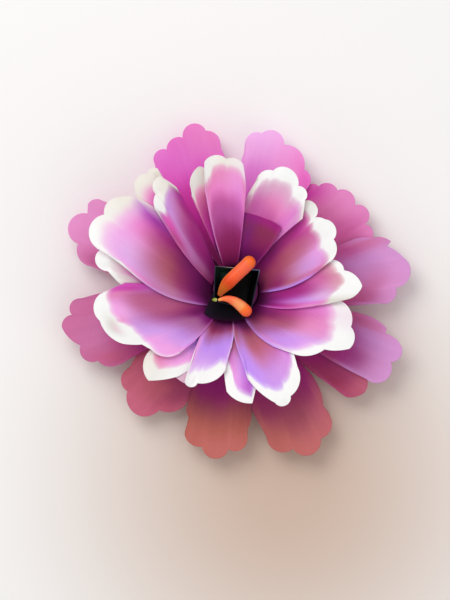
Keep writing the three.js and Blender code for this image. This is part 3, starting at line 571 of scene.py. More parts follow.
def ringMesh(name, rings, firstPole, lastPole):
    # quads between neighbouring closed rings, and a fan of triangles to the pole at each end
    count, around = rings.shape[:2]
    index = 1 + np.arange(count * around).reshape(count, around)
    ahead = np.roll(index, -1, axis=1)
    quads = np.stack([index[:-1], ahead[:-1], ahead[1:], index[1:]], axis=-1).reshape(-1, 4)
    firstFan = np.stack([np.zeros_like(index[0]), ahead[0], index[0]], axis=-1)
    lastFan = np.stack([np.full_like(index[0], count * around + 1), index[-1], ahead[-1]], axis=-1)
    points = np.concatenate([[firstPole], rings.reshape(-1, 3), [lastPole]]) * mm
    mesh = bpy.data.meshes.new(name)
    mesh.from_pydata(points.tolist(), [], quads.tolist() + firstFan.tolist() + lastFan.tolist())
    shell = bmesh.new()
    shell.from_mesh(mesh)
    bmesh.ops.recalc_face_normals(shell, faces=shell.faces)
    shell.to_mesh(mesh)
    shell.free()
    return smoothPiece(name, mesh)


def withPoles(values, firstValue, lastValue):
    # one value for each vertex of a ring mesh: its first pole, its rings and its last pole
    flat = values.reshape(-1, *values.shape[2:])
    return np.concatenate([[firstValue], flat, [lastValue]])


def standIn(piece, node):
    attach(piece, "root")
    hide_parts(node)


def addNumber(piece, key, values):
    layer = piece.data.attributes.new(key, "FLOAT", "POINT")
    layer.data.foreach_set("value", np.ascontiguousarray(values, dtype=np.float32).ravel())


def addColour(piece, key, colours):
    flat = np.concatenate([linear(colours), np.ones((*colours.shape[:-1], 1))], axis=-1)
    layer = piece.data.attributes.new(key, "FLOAT_COLOR", "POINT")
    layer.data.foreach_set("color", np.ascontiguousarray(flat, dtype=np.float32).ravel())


def fanned(rim, foot):
    # The rim with its points moved so that their directions from the foot always grow: a lobe
    # that hangs over its neighbour would fold the ruled sheet.
    away = rim - polar(sum(foot) / 2, stack["footRadius"])
    heading = np.unwrap(np.arctan2(away[:, 1], away[:, 0]))
    least = form["leastTurn"] * np.arange(len(rim))
    heading = np.maximum.accumulate(heading - least) + least
    aim = np.stack([np.cos(heading), np.sin(heading)], axis=-1)
    return rim - away + aim * np.linalg.norm(away, axis=1, keepdims=True)


def petalShape(petal, stackLevel, height, lip):
    # Ruled from the foot on the plug to the rim, then bowed sideways by its bellies as
    # sin(pi * along); straight is the rim before the bow. Height is the shared height at that
    # distance, the place in the stack, the lift of the long edges as the angle from the axis
    # squared, and the lip: (roll + lobe * crown) * exp(-(distance from the rim / length)^fall).
    rim, across, crown = rimLine(petal["rim"], form["acrossSteps"])
    across = across[None, :]
    along = 1 - (1 - np.linspace(0, 1, form["alongSteps"])) ** form["rimDenser"]
    along = along[:, None]
    side = 2 * across - 1
    axis = rim[0] + rim[-1]
    axis = axis / np.linalg.norm(axis)
    footAngle = petal["foot"][0] + (petal["foot"][1] - petal["foot"][0]) * across
    foot = polar(footAngle, stack["footRadius"])
    sideways = np.array([-axis[1], axis[0]])
    lowBelly, highBelly = petal.get("belly", (form["belly"], form["belly"]))
    bow = (lowBelly + (highBelly - lowBelly) * across) * side
    length = np.linalg.norm(rim[None] - foot, axis=-1)
    share = length / (length + (length.max() - length) * lip["even"])
    straight = fanned(rim - (bow * np.sin(np.pi * share))[0, :, None] * sideways, petal["foot"])
    length = np.linalg.norm(straight[None] - foot, axis=-1)
    bow = bow * np.sin(np.pi * along * share)
    flat = foot + (straight[None] - foot) * along[..., None] + bow[..., None] * sideways
    rimGap = (1 - along) * length
    radius = np.hypot(flat[..., 0], flat[..., 1])
    tip = np.hypot(rim[:, 0], rim[:, 1]).max()
    reach = (radius - stack["footRadius"]) / (tip - stack["footRadius"])
    turn = np.arctan2(flat @ sideways, flat @ axis)
    width = np.where(turn < 0, turn.min(axis=1, keepdims=True), turn.max(axis=1, keepdims=True))
    lift = np.where(turn < 0, petal["lift"][0], petal["lift"][1]) * (turn / width) ** 2
    lift = lift * reach.clip(0, 1) ** form["liftPower"]
    nearest = np.linalg.norm(flat[:, :, None] - rim[None, None], axis=-1).min(axis=-1)
    fading = np.exp(-(nearest / lip["length"]) ** lip["fall"])
    roll = (lip["roll"] + lip["lobe"] * crown[None]) * fading
    base = stack["firstFoot"] + stackLevel * stack["step"] + stack["sheet"]
    z = base + height(radius) + lift - roll
    points = np.concatenate([flat, z[..., None]], axis=-1)
    bodyReach = along * (length / length.max()) ** lip["even"]
    return points, along * np.ones_like(side), side * np.ones_like(along), rimGap, bodyReach


# How finely a petal is searched for a pixel of its paint, and the steps its places keep to
placing = {
    "alongSteps": 60,
    "stretchSteps": 24,
    "along": 0.02, "side": 0.05, "width": 0.05, "length": 0.02,
    "depth": 0.5,  # in mm
    "edge": 0.98,  # past this side a border's end takes the place of its other points
    "apart": 0.04,  # points of a border closer than this in side become one
    "digits": 2,
}


def stepped(value, step):
    return round(round(float(value) / step) * step, placing["digits"])


def cameraPlace():
    # Straight down. The sensor covers the frame's height, so at this distance a pixel is as
    # wide as photo says at the aim height.
    span = photo["height"] * photo["mmPerPixel"] * mm
    distance = studio["lens"] * span / studio["sensor"]
    x = (photo["width"] / 2 - photo["middleX"]) * photo["mmPerPixel"] * mm
    y = (photo["middleY"] - photo["height"] / 2) * photo["mmPerPixel"] * mm
    return x, y, studio["aimHeight"] * mm + distance


def seenPetal(petal, stackLevel, height):
    # The petal's plain ruled sheet as the camera sees it: the pixel of each of its points,
    # their side, along and gap to the rim, half the width at each step along, and the mean
    # length. A point nearer to the camera is seen larger, by the ratio of the distances.
    rim, across, crown = rimLine(petal["rim"], form["acrossSteps"], placing["stretchSteps"])
    along = np.linspace(0, 1, placing["alongSteps"])[:, None]
    side = (2 * across - 1)[None, :]
    axis = rim[0] + rim[-1]
    axis = axis / np.linalg.norm(axis)
    footAngle = petal["foot"][0] + (petal["foot"][1] - petal["foot"][0]) * across
    foot = polar(footAngle, stack["footRadius"])
    lowBelly, highBelly = petal.get("belly", (form["belly"], form["belly"]))
    bow = (lowBelly + (highBelly - lowBelly) * across) * side * np.sin(np.pi * along)
    flat = foot + (rim - foot) * along[..., None] + bow[..., None] * np.array([-axis[1], axis[0]])
    lift = np.where(side < 0, petal["lift"][0], petal["lift"][1]) * side ** 2
    lift = lift * along ** form["liftPower"]
    base = stack["firstFoot"] + stackLevel * stack["step"] + stack["sheet"]
    z = base + height(np.hypot(flat[..., 0], flat[..., 1])) + lift
    x, y, eye = np.array(cameraPlace()) / mm
    pixelsPerMm = (eye - studio["aimHeight"]) / (eye - z) / photo["mmPerPixel"]
    pixelX = photo["width"] / 2 + (flat[..., 0] - x) * pixelsPerMm
    pixelY = photo["height"] / 2 - (flat[..., 1] - y) * pixelsPerMm
    length = np.linalg.norm(rim - foot, axis=-1)
    places = np.stack(np.broadcast_arrays(side, along, (1 - along) * length[None, :]), axis=-1)
    halfWidth = np.linalg.norm(flat[:, 0] - flat[:, -1], axis=-1) / 2
    return pixelX, pixelY, places, halfWidth, length.mean()


def placeOn(seen, x, y):
    # the petal's point that is seen nearest to a pixel: side, along, rim gap and half width
    pixelX, pixelY, places, halfWidth = seen[:4]
    near = (pixelX - x) ** 2 + (pixelY - y) ** 2
    row, column = np.unravel_index(near.argmin(), near.shape)
    return (*places[row, column], halfWidth[row])


def placeBorder(white, seen):
    # the white's inner border as (side, depth in mm), from one long edge to the other
    found = sorted(placeOn(seen, x, y)[0::2] for x, y in white["border"])
    low, high = white.get("ends", (None, None))
    if low is not None:
        found = [(-1, low)] + [place for place in found if place[0] > -placing["edge"]]
    if high is not None:
        found = [place for place in found if place[0] < placing["edge"]] + [(1, high)]
    border = []
    for side, depth in found:
        side, depth = stepped(side, placing["side"]), stepped(depth, placing["depth"])
        if border and side - border[-1][0] < placing["apart"]:
            border[-1] = (border[-1][0], max(depth, border[-1][1]))
        else:
            border.append((side, depth))
    return border


def placePaint(petal, stackLevel, height):
    # The petal with its paint placed on it. Side goes from -1 at the clockwise edge to 1 at the
    # other, and along from 0 at the foot to 1 at the rim: body tones become (along, tone), and
    # spots (side, along, half width, half length, tone, strength), the widths as a share of
    # half the petal's and the lengths of its own. On the white, mm from the rim replace along.
    seen = seenPetal(petal, stackLevel, height)
    body = sorted(((placeOn(seen, x, y)[1], tone) for x, y, tone in petal["body"]), key=lambda b: b[0])
    placed = dict(petal, body=[(stepped(along, placing["along"]), tone) for along, tone in body])
    placed["tintLightShadeSpots"] = []
    for x, y, spotLength, spotWidth, tone, strength in petal["tintLightShadeSpots"]:
        side, along, rimGap, halfWidth = placeOn(seen, x, y)
        width = stepped(spotWidth / halfWidth, placing["width"])
        length = stepped(spotLength / seen[-1], placing["length"])
        place = (stepped(side, placing["side"]), stepped(along, placing["along"]))
        placed["tintLightShadeSpots"].append((*place, width, length, tone, strength))
    if petal.get("white"):
        placed["white"] = dict(petal["white"], border=placeBorder(petal["white"], seen), tintLightShadeSpots=[])
        for x, y, spotLength, spotWidth, tone, strength in petal["white"].get("tintLightShadeSpots", []):
            side, along, rimGap, halfWidth = placeOn(seen, x, y)
            width = stepped(spotWidth / halfWidth, placing["width"])
            place = (stepped(side, placing["side"]), stepped(rimGap, placing["depth"]))
            placed["white"]["tintLightShadeSpots"].append((*place, width, spotLength, tone, strength))
    return placed


def mixColour(colours, share, colour):
    return colours + (np.array(colour, dtype=float) - colours) * share[..., None]


def rampColour(values, places, colours):
    # each channel blended straight between its neighbours in the ramp
    ramp = np.array(colours, dtype=float)
    return np.stack([np.interp(values, places, ramp[:, channel]) for channel in range(3)], axis=-1)


def petalPaint(petal, along, side, bodyReach):
    # Body tones blend by bodyReach, then each edge tone fades in as exp(-(gap / width)^2)
    # from its long edge and from the foot, and each spot as exp(-(side^2 + along^2)) of its
    # two half sizes. An edge tone is painted highlight along an edge that lies over its
    # neighbour and painted shade along one that sinks under it. The spots are painted
    # highlights and painted shade, with some of the paper's own tint.
    places = [place for place, tone in petal["body"]]
    colours = rampColour(bodyReach, places, [tones[tone] for place, tone in petal["body"]])
    grown = (along / form["plainFoot"]).clip(0, 1)
    for gapSide, (tone, width, strength) in zip((1 + side, 1 - side), petal["edges"]):
        fading = grown * np.exp(-(gapSide / width) ** 2)
        colours = mixColour(colours, strength * fading, tones[tone])
    for spotSide, spotAlong, halfWidth, halfLength, tone, strength in petal["tintLightShadeSpots"]:
        spread = ((side - spotSide) / halfWidth) ** 2 + ((along - spotAlong) / halfLength) ** 2
        colours = mixColour(colours, strength * np.exp(-spread), tones[tone])
    return colours


def whiteRim(petal, side, rimGap):
    # how far a point lies inside the white rim's border, in mm, and the rim's tones, whose stone and cream
    # are painted shade on the white
    white = petal["white"]
    borderSide = [border[0] for border in white["border"]]
    depth = np.interp(side, borderSide, [border[1] for border in white["border"]])
    places = np.linspace(-1, 1, len(white["tones"]))
    colours = rampColour(side, places, [tones[tone] for tone in white["tones"]])
    for spotSide, spotGap, halfWidth, halfLength, tone, strength in white.get("tintLightShadeSpots", []):
        spread = ((side - spotSide) / halfWidth) ** 2 + ((rimGap - spotGap) / halfLength) ** 2
        colours = mixColour(colours, strength * np.exp(-spread), tones[tone])
    return rimGap - depth, colours


def newMaterial(name):
    material = bpy.data.materials.new(name)
    material.use_nodes = True
    tree = material.node_tree
    return material, tree, tree.nodes["Principled BSDF"]


def attribute(tree, name, output="Fac"):
    node = tree.nodes.new("ShaderNodeAttribute")
    node.attribute_name = name
    return node.outputs[output]


def calc(tree, operation, *values):
    node = tree.nodes.new("ShaderNodeMath")
    node.operation = operation
    for socket, value in zip(node.inputs, values):
        if isinstance(value, (int, float)):
            socket.default_value = value
        else:
            tree.links.new(value, socket)
    return node.outputs[0]


def fade(tree, value, low, high):
    # smooth step of a value from 0 at low to 1 at high
    node = tree.nodes.new("ShaderNodeMapRange")
    node.interpolation_type = "SMOOTHSTEP"
    node.inputs["From Min"].default_value = low
    node.inputs["From Max"].default_value = high
    tree.links.new(value, node.inputs["Value"])
    return node.outputs["Result"]


def blendColour(tree, share, first, second, mode="MIX"):
    node = tree.nodes.new("ShaderNodeMix")
    node.data_type = "RGBA"
    node.blend_type = mode
    for key, value in (("Factor", share), ("A", first), ("B", second)):
        socket = [s for s in node.inputs if s.name == key and s.enabled][0]
        if isinstance(value, (tuple, int, float)):
            socket.default_value = value
        else:
            tree.links.new(value, socket)
    return [s for s in node.outputs if s.enabled][0]


def noise(tree, vector, scale, detail=4.0, roughness=0.5):
    node = tree.nodes.new("ShaderNodeTexNoise")
    node.inputs["Scale"].default_value = scale
    node.inputs["Detail"].default_value = detail
    node.inputs["Roughness"].default_value = roughness
    tree.links.new(vector, node.inputs["Vector"])
    return node.outputs["Fac"]


def objectPlace(tree):
    return tree.nodes.new("ShaderNodeTexCoord").outputs["Object"]


# What every paper here shares: a fine grain, and a felt of coarser fibres under it
paper = {
    "grain": {"height": 0.6, "detail": 5.0, "roughness": 0.65},
    "felt": {"height": 0.8, "detail": 3.0, "scale": 0.2},
    "streakHeight": 1.2,
    "bumpDepth": 0.12,  # in mm
    "mottleFrom": 0.25, "mottleTo": 0.75,
    "wander": 0.12,  # how far the roughness goes up and down
}


def paperFinish(tree, shader, colour, place, fibre, streaks, roughness):
    # grain, felt and faint lengthwise streaks add up to the bump, and roughness wanders a little
    grain = noise(tree, place, fibre["scale"], paper["grain"]["detail"], paper["grain"]["roughness"])
    felt = noise(tree, place, fibre["scale"] * paper["felt"]["scale"], paper["felt"]["detail"])
    grainHeight = calc(tree, "MULTIPLY", grain, paper["grain"]["height"])
    feltHeight = calc(tree, "MULTIPLY", felt, paper["felt"]["height"])
    relief = calc(tree, "ADD", grainHeight, feltHeight)
    if streaks is not None:
        relief = calc(tree, "ADD", relief, calc(tree, "MULTIPLY", streaks, paper["streakHeight"]))
    bump = tree.nodes.new("ShaderNodeBump")
    bump.inputs["Strength"].default_value = fibre["strength"]
    bump.inputs["Distance"].default_value = paper["bumpDepth"] * mm
    tree.links.new(relief, bump.inputs["Height"])
    tree.links.new(bump.outputs["Normal"], shader.inputs["Normal"])
    mottle = fade(tree, grain, paper["mottleFrom"], paper["mottleTo"])
    shade = calc(tree, "MULTIPLY", mottle, fibre["mottle"])
    tinted = blendColour(tree, shade, colour, (1, 1, 1, 1), "SOFT_LIGHT")
    tree.links.new(tinted, shader.inputs["Base Color"])
    rough = calc(tree, "MULTIPLY_ADD", felt, paper["wander"], roughness - paper["wander"] / 2)
    tree.links.new(rough, shader.inputs["Roughness"])


petalFinish = {
    "fibre": {"scale": 1400, "strength": 0.3, "mottle": 0.1},
    "roughness": 0.6, "gloss": 0.3,
    "streaksAcross": 8.0, "streaksAlong": 1.1, "streakScale": 1.6,
    "glaze": 0.1, "glazeFrom": 0.4, "glazeTo": 0.75, "glazeTint": (1, 0.9, 0.97, 1),
    "wander": 1.6, "wanderScale": 160,  # the white's border, in mm and in turns a metre
    "halo": 0.45, "haloOut": 2.0, "haloIn": 0.4,  # a wider, fainter white than the border's
    "edge": 0.6,
}


def petalMaterial(name, petal):
    # The painted colour, faint streaks that run from foot to rim, and the dipped rim, whose
    # border wanders with slow noise.
    finish = petalFinish
    material, tree, shader = newMaterial(name)
    along, side = attribute(tree, "along"), attribute(tree, "side")
    place = objectPlace(tree)
    streakVector = tree.nodes.new("ShaderNodeCombineXYZ")
    tree.links.new(calc(tree, "MULTIPLY", side, finish["streaksAcross"]), streakVector.inputs["X"])
    tree.links.new(calc(tree, "MULTIPLY", along, finish["streaksAlong"]), streakVector.inputs["Y"])
    streaks = noise(tree, streakVector.outputs["Vector"], finish["streakScale"], 4.0)
    body = attribute(tree, "paint", "Color")
    shine = fade(tree, streaks, finish["glazeFrom"], finish["glazeTo"])
    glaze = calc(tree, "MULTIPLY", shine, finish["glaze"])
    body = blendColour(tree, glaze, body, finish["glazeTint"], "SOFT_LIGHT")
    if petal.get("white"):
        soft = petal["white"]["soft"]
        wander = calc(tree, "SUBTRACT", noise(tree, place, finish["wanderScale"], 3.0), 0.5)
        gap = calc(tree, "MULTIPLY_ADD", wander, finish["wander"], attribute(tree, "rimInside"))
        glow = fade(tree, gap, soft * finish["haloOut"], -soft * finish["haloIn"])
        halo = calc(tree, "MULTIPLY", glow, finish["halo"])
        dipped = fade(tree, gap, soft * finish["edge"], -soft * finish["edge"])
        rimColour = attribute(tree, "rimPaint", "Color")
        body = blendColour(tree, halo, body, rimColour)
        body = blendColour(tree, dipped, body, rimColour)
    paperFinish(tree, shader, body, place, finish["fibre"], streaks, finish["roughness"])
    shader.inputs["Specular IOR Level"].default_value = finish["gloss"]
    return material


def makePetal(kind, at, petal, level, height, lip):
    petal = placePaint(petal, level, height)
    points, along, side, rimGap, bodyReach = petalShape(petal, level, height, lip)
    piece = gridMesh(f"{kind}Petal_{at}", points)
    addNumber(piece, "along", along)
    addNumber(piece, "side", side)
    addColour(piece, "paint", petalPaint(petal, along, side, bodyReach))
    if petal.get("white"):
        inside, rimColours = whiteRim(petal, side, rimGap)
        addNumber(piece, "rimInside", inside)
        addColour(piece, "rimPaint", rimColours)
    piece.data.materials.append(petalMaterial(f"{kind}Paper_{at}", petal))
    wall = piece.modifiers.new("sheet", "SOLIDIFY")
    wall.thickness = stack["sheet"] * mm
    wall.offset = -1
    standIn(piece, f"{kind}_petal_{at}")


def makePetals():
    for at, petal in outerPetals.items():
        makePetal("outer", at, petal, petal["level"], outerHeight, outerLip)
    for at, petal in innerPetals.items():
        level = petal["level"] + stack["outerLevels"]
        makePetal("inner", at, petal, level, innerHeight, innerLip)
    print("petals made:", len(outerPetals), "outer,", len(innerPetals), "inner")


def paintedPaper(name, finish):
    material, tree, shader = newMaterial(name)
    place = objectPlace(tree)
    colour = attribute(tree, "paint", "Color")
    paperFinish(tree, shader, colour, place, finish["fibre"], None, finish["roughness"])
    shader.inputs["Specular IOR Level"].default_value = finish["gloss"]
    return material


# The disc and the plug keep the frame's shapes
hidden = {
    "finish": {"fibre": {"scale": 1400, "strength": 0.35, "mottle": 0.15}, "roughness": 0.8},
    "disc": "card", "discTop": "night", "plug": "plum",
    "topFrom": 1.3, "topTo": 1.4,  # heights in mm between which the disc's dark upper face begins
}


def discColour(tree):
    # pale card with a dark upper face, which shows between the petals' feet: partly the flower's deep plum
    # and partly painted shade of its deep middle
    split = tree.nodes.new("ShaderNodeSeparateXYZ")
    tree.links.new(objectPlace(tree), split.inputs[0])
    upper = fade(tree, split.outputs["Z"], hidden["topFrom"] * mm, hidden["topTo"] * mm)
    lowColour, topColour = linearRgba(tones[hidden["disc"]]), linearRgba(tones[hidden["discTop"]])
    return blendColour(tree, upper, lowColour, topColour)


def plugColour(tree):
    base = tree.nodes.new("ShaderNodeRGB")
    base.outputs[0].default_value = linearRgba(tones[hidden["plug"]])
    return base.outputs[0]


def dress(node, name, colourOf):
    material, tree, shader = newMaterial(name)
    fibre, roughness = hidden["finish"]["fibre"], hidden["finish"]["roughness"]
    paperFinish(tree, shader, colourOf(tree), objectPlace(tree), fibre, None, roughness)
    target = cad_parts[node]
    target.data.materials.clear()
    target.data.materials.append(material)


def dressHidden():
    dress("base_disc", "discPaper", discColour)
    dress("core_plug", "corePaper", plugColour)
    print("disc and plug dressed")


# The dark folded tray, on the heights that the frame gives it
tray = {
    "mouth": [(-8.2, 9.8), (-8.8, -4.2), (6.4, -7.6), (9.8, 8.2)],
    "lean": 0.72,  # its floor is this share of its mouth
    "wall": 0.5,
    "floor": 0.6,
    "corner": 0.28,  # radius of a folded corner
    "sag": 0.35,  # how far a wall bends in at half height
    "dip": 0.1,  # how much lower the middle of the floor is
    "floorRings": (0.3, 0.7),
    "cornerSteps": 9, "wallSteps": 15, "climbSteps": 9, "lipSteps": 7,
    "inside": (2, 3, 4), "outside": (14, 18, 26),
    "lipHighlightFade": 0.35,  # how far down the lip's painted highlight reaches, in mm
    # the lip tones are painted highlight along the folded top edge
    "lip": (44, 48, 60),
    "northLipHighlight": {"tone": (168, 158, 152), "heading": 98, "spread": 26},
    "eastLipHighlight": {"tone": (124, 140, 172), "heading": 40, "spread": 13},
    "green": {"tone": (24, 52, 40), "heading": 130, "spread": 30, "strength": 0.9},
    "finish": {"fibre": {"scale": 1500, "strength": 0.25, "mottle": 0.1}, "roughness": 0.5, "gloss": 0.08},
}


def trayRing(share, inset, height, pull):
    # The mouth's outline shrunk towards its middle, its corners rounded: each corner is an arc
    # between the outward directions of its two walls, and a wall's middle is pulled inwards.
    mouth = np.array(tray["mouth"])
    middle = mouth.mean(axis=0)
    away = mouth - middle
    size = np.linalg.norm(away, axis=1, keepdims=True)
    corners = middle + away / size * (size * share - inset - tray["corner"])
    before = corners - np.roll(corners, 1, axis=0)
    after = np.roll(corners, -1, axis=0) - corners
    startTurn = np.arctan2(-before[:, 0], before[:, 1])
    sweep = (np.arctan2(-after[:, 0], after[:, 1]) - startTurn) % (2 * np.pi)
    turn = startTurn[:, None] + sweep[:, None] * np.linspace(0, 1, tray["cornerSteps"])
    arcs = corners[:, None] + tray["corner"] * np.stack([np.cos(turn), np.sin(turn)], axis=-1)
    ahead = np.roll(arcs[:, :1], -1, axis=0)
    share = np.linspace(0, 1, tray["wallSteps"])[1:-1, None]
    walls = arcs[:, -1:] + (ahead - arcs[:, -1:]) * share
    outward = np.stack([np.cos(turn[:, -1:]), np.sin(turn[:, -1:])], axis=-1)
    walls = walls - outward * pull * np.sin(np.pi * share)
    outline = np.concatenate([arcs, walls], axis=1).reshape(-1, 2)
    return np.concatenate([outline, np.full((len(outline), 1), height)], axis=1)


def trayRings(low, high):
    # From under the floor up the outer walls, over the round lip, down the inner walls and in
    # over the floor. A wall leans out and bends in as it climbs.
    half = tray["wall"] / 2
    top, bed = high - half, low + tray["floor"]
    climb = np.linspace(0, 1, tray["climbSteps"])
    lean = tray["lean"] + (1 - tray["lean"]) * climb
    pull = tray["sag"] * np.sin(np.pi * climb)
    wall = list(zip(lean, climb, pull))
    overLip = np.linspace(0, np.pi, tray["lipSteps"])[1:-1]
    outer = [trayRing(tray["lean"] * share, 0, low, 0) for share in tray["floorRings"]]
    outer += [trayRing(size, 0, low + (top - low) * rise, bend) for size, rise, bend in wall]
    outer += [trayRing(1, half - half * math.cos(a), top + half * math.sin(a), 0) for a in overLip]
    inner = [trayRing(size, tray["wall"], bed + (top - bed) * rise, bend)
             for size, rise, bend in wall[::-1]]
    for share in tray["floorRings"][::-1]:
        inner.append(trayRing(tray["lean"] * share, tray["wall"], bed - tray["dip"] * (1 - share), 0))
    return np.array(outer + inner), len(outer), bed - tray["dip"]


def trayPaint(rings, outerRings, middle, high):
    # the lip's painted highlight fades as exp(-(depth / lipHighlightFade)^2), and each highlight patch by
    # its heading likewise
    lip = np.exp(-((high - rings[..., 2]) / tray["lipHighlightFade"]) ** 2)
    turn = np.degrees(np.arctan2(rings[..., 1] - middle[1], rings[..., 0] - middle[0]))
    inward = (np.arange(len(rings)) >= outerRings)[:, None] * np.ones(rings.shape[1])
    colours = np.where(inward[..., None] > 0, tray["inside"], tray["outside"]).astype(float)
    colours = mixColour(colours, lip, tray["lip"])
    for patch in (tray["northLipHighlight"], tray["eastLipHighlight"]):
        weight = lip * np.exp(-((turn - patch["heading"]) / patch["spread"]) ** 2)
        colours = mixColour(colours, weight, patch["tone"])
    green = tray["green"]
    weight = np.exp(-((turn - green["heading"]) / green["spread"]) ** 2) * inward * (1 - lip)
    return mixColour(colours, green["strength"] * weight, green["tone"])


def makeTray():
    low, high = (corner[2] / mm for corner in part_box("centre_tray"))
    rings, outerRings, bed = trayRings(low, high)
    middle = rings[:, :, :2].mean(axis=(0, 1))
    piece = ringMesh("foldedTray", rings, (*middle, low), (*middle, bed))
    colours = trayPaint(rings, outerRings, middle, high)
    addColour(piece, "paint", withPoles(colours, tray["outside"], tray["inside"]))
    piece.data.materials.append(paintedPaper("trayPaper", tray["finish"]))
    return piece


# The dark leaf under the tray, drawn by its corners and the points its sides bend towards
leaf = {
    "outline": [(-7, 3), (-10.5, -3), (-12.6, -9.4), (-8, -12.6), (0, -12.2), (6, -12), (7, -6), (3, 3)],
    "middle": (-2, -5),
    "firstRing": 0.08,  # the ring round each pole, as a share of the outline
    "ringSteps": 14, "sideSteps": 24,
    "thickness": 0.3,
    "edgePower": 12,  # the lower face rises to the rim with this power of the way there
    "droop": 0.35,
    "dark": (2, 2, 7), "edge": (46, 2, 38), "tip": (26, 22, 38),
    "tipSpread": 4, "strength": 0.7,
    "finish": {"fibre": {"scale": 1500, "strength": 0.25, "mottle": 0.1}, "roughness": 0.6, "gloss": 0.08},
}


def makeLeaf():
    # Each side is a curve with one bend. Rings grow from the middle to the outline on top and
    # shrink back below. The leaf droops towards its rim with the cube of the distance.
    corners = np.array(leaf["outline"], dtype=float)
    share = np.linspace(0, 1, leaf["sideSteps"], endpoint=False)[:, None]
    sides = []
    for start in range(0, len(corners), 2):
        first, bend, last = corners[start], corners[start + 1], corners[(start + 2) % len(corners)]
        sides.append((1 - share) ** 2 * first + 2 * share * (1 - share) * bend + share ** 2 * last)
    outline = np.concatenate(sides)
    middle = np.array(leaf["middle"], dtype=float)
    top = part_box("centre_leaf")[1][2] / mm
    grow = np.linspace(leaf["firstRing"], 1, leaf["ringSteps"])
    shrink = np.linspace(1, leaf["firstRing"], leaf["ringSteps"])
    reach = np.concatenate([grow, shrink])
    below = np.arange(len(reach)) >= leaf["ringSteps"]
    plan = middle + (outline - middle)[None] * reach[:, None, None]
    depth = below * leaf["thickness"] * (1 - reach ** leaf["edgePower"])
    height = top - leaf["droop"] * reach ** 3 - depth
    rings = np.concatenate([plan, np.broadcast_to(height[:, None, None], (*plan.shape[:2], 1))], axis=-1)
    piece = ringMesh("darkLeaf", rings, (*middle, top), (*middle, top - leaf["thickness"]))
    rim = reach[:, None] ** 4 * np.ones(len(outline))
    tip = np.exp(-(np.linalg.norm(plan - corners[2], axis=-1) / leaf["tipSpread"]) ** 2)
    colours = np.ones((*rim.shape, 3)) * np.array(leaf["dark"])
    for tone, weight in ((leaf["edge"], rim), (leaf["tip"], tip)):
        colours = mixColour(colours, weight * leaf["strength"], tone)
    addColour(piece, "paint", withPoles(colours, leaf["dark"], leaf["dark"]))
    piece.data.materials.append(paintedPaper("leafPaper", leaf["finish"]))
    return piece


# The stamens: points along each, thin end first, tones from thin end to round end, and sides, the painted
# highlight and shade along each flank
stamen = {
    "around": 40, "rodSteps": 60, "ballSteps": 9,
    "pole": 0.02,  # how far a pole stands out from its ball's last ring, in mm
    "sideLightPower": 6, "sideLightStrength": 0.8,
    "finish": {"fibre": {"scale": 1300, "strength": 0.2, "mottle": 0.08}, "roughness": 0.42, "gloss": 0.25},
    "long": {
        "points": [(-6.1, -1.3), (-4.2, 1.6), (0.1, 6.1), (5.4, 11.2)],
        "radius": 2.7,
        "start": 0.4,  # the thin end's share of the radius
        "swelling": 0.4,
        "tones": [(0, (170, 84, 20)), (0.15, (196, 92, 8)), (0.32, (222, 66, 8)), (0.5, (252, 92, 44)),
                  (0.75, (255, 104, 62)), (0.9, (255, 104, 70)), (1, (255, 112, 40))],
        "sides": ((255, 150, 84), (255, 122, 84)),
    },
    "short": {
        "points": [(-6.4, -3.7), (-2.6, -3.5), (1.2, -5.4), (4.2, -8.1)],
        "radius": 2.4, "start": 0.25, "swelling": 1.0,
        "tones": [(0, (250, 176, 92)), (0.1, (255, 124, 62)), (0.35, (255, 112, 68)),
                  (0.55, (250, 146, 88)), (0.8, (250, 160, 96)), (0.92, (255, 118, 40)),
                  (1, (255, 106, 44))],
        "sides": ((255, 92, 66), (255, 122, 62)),
    },
}


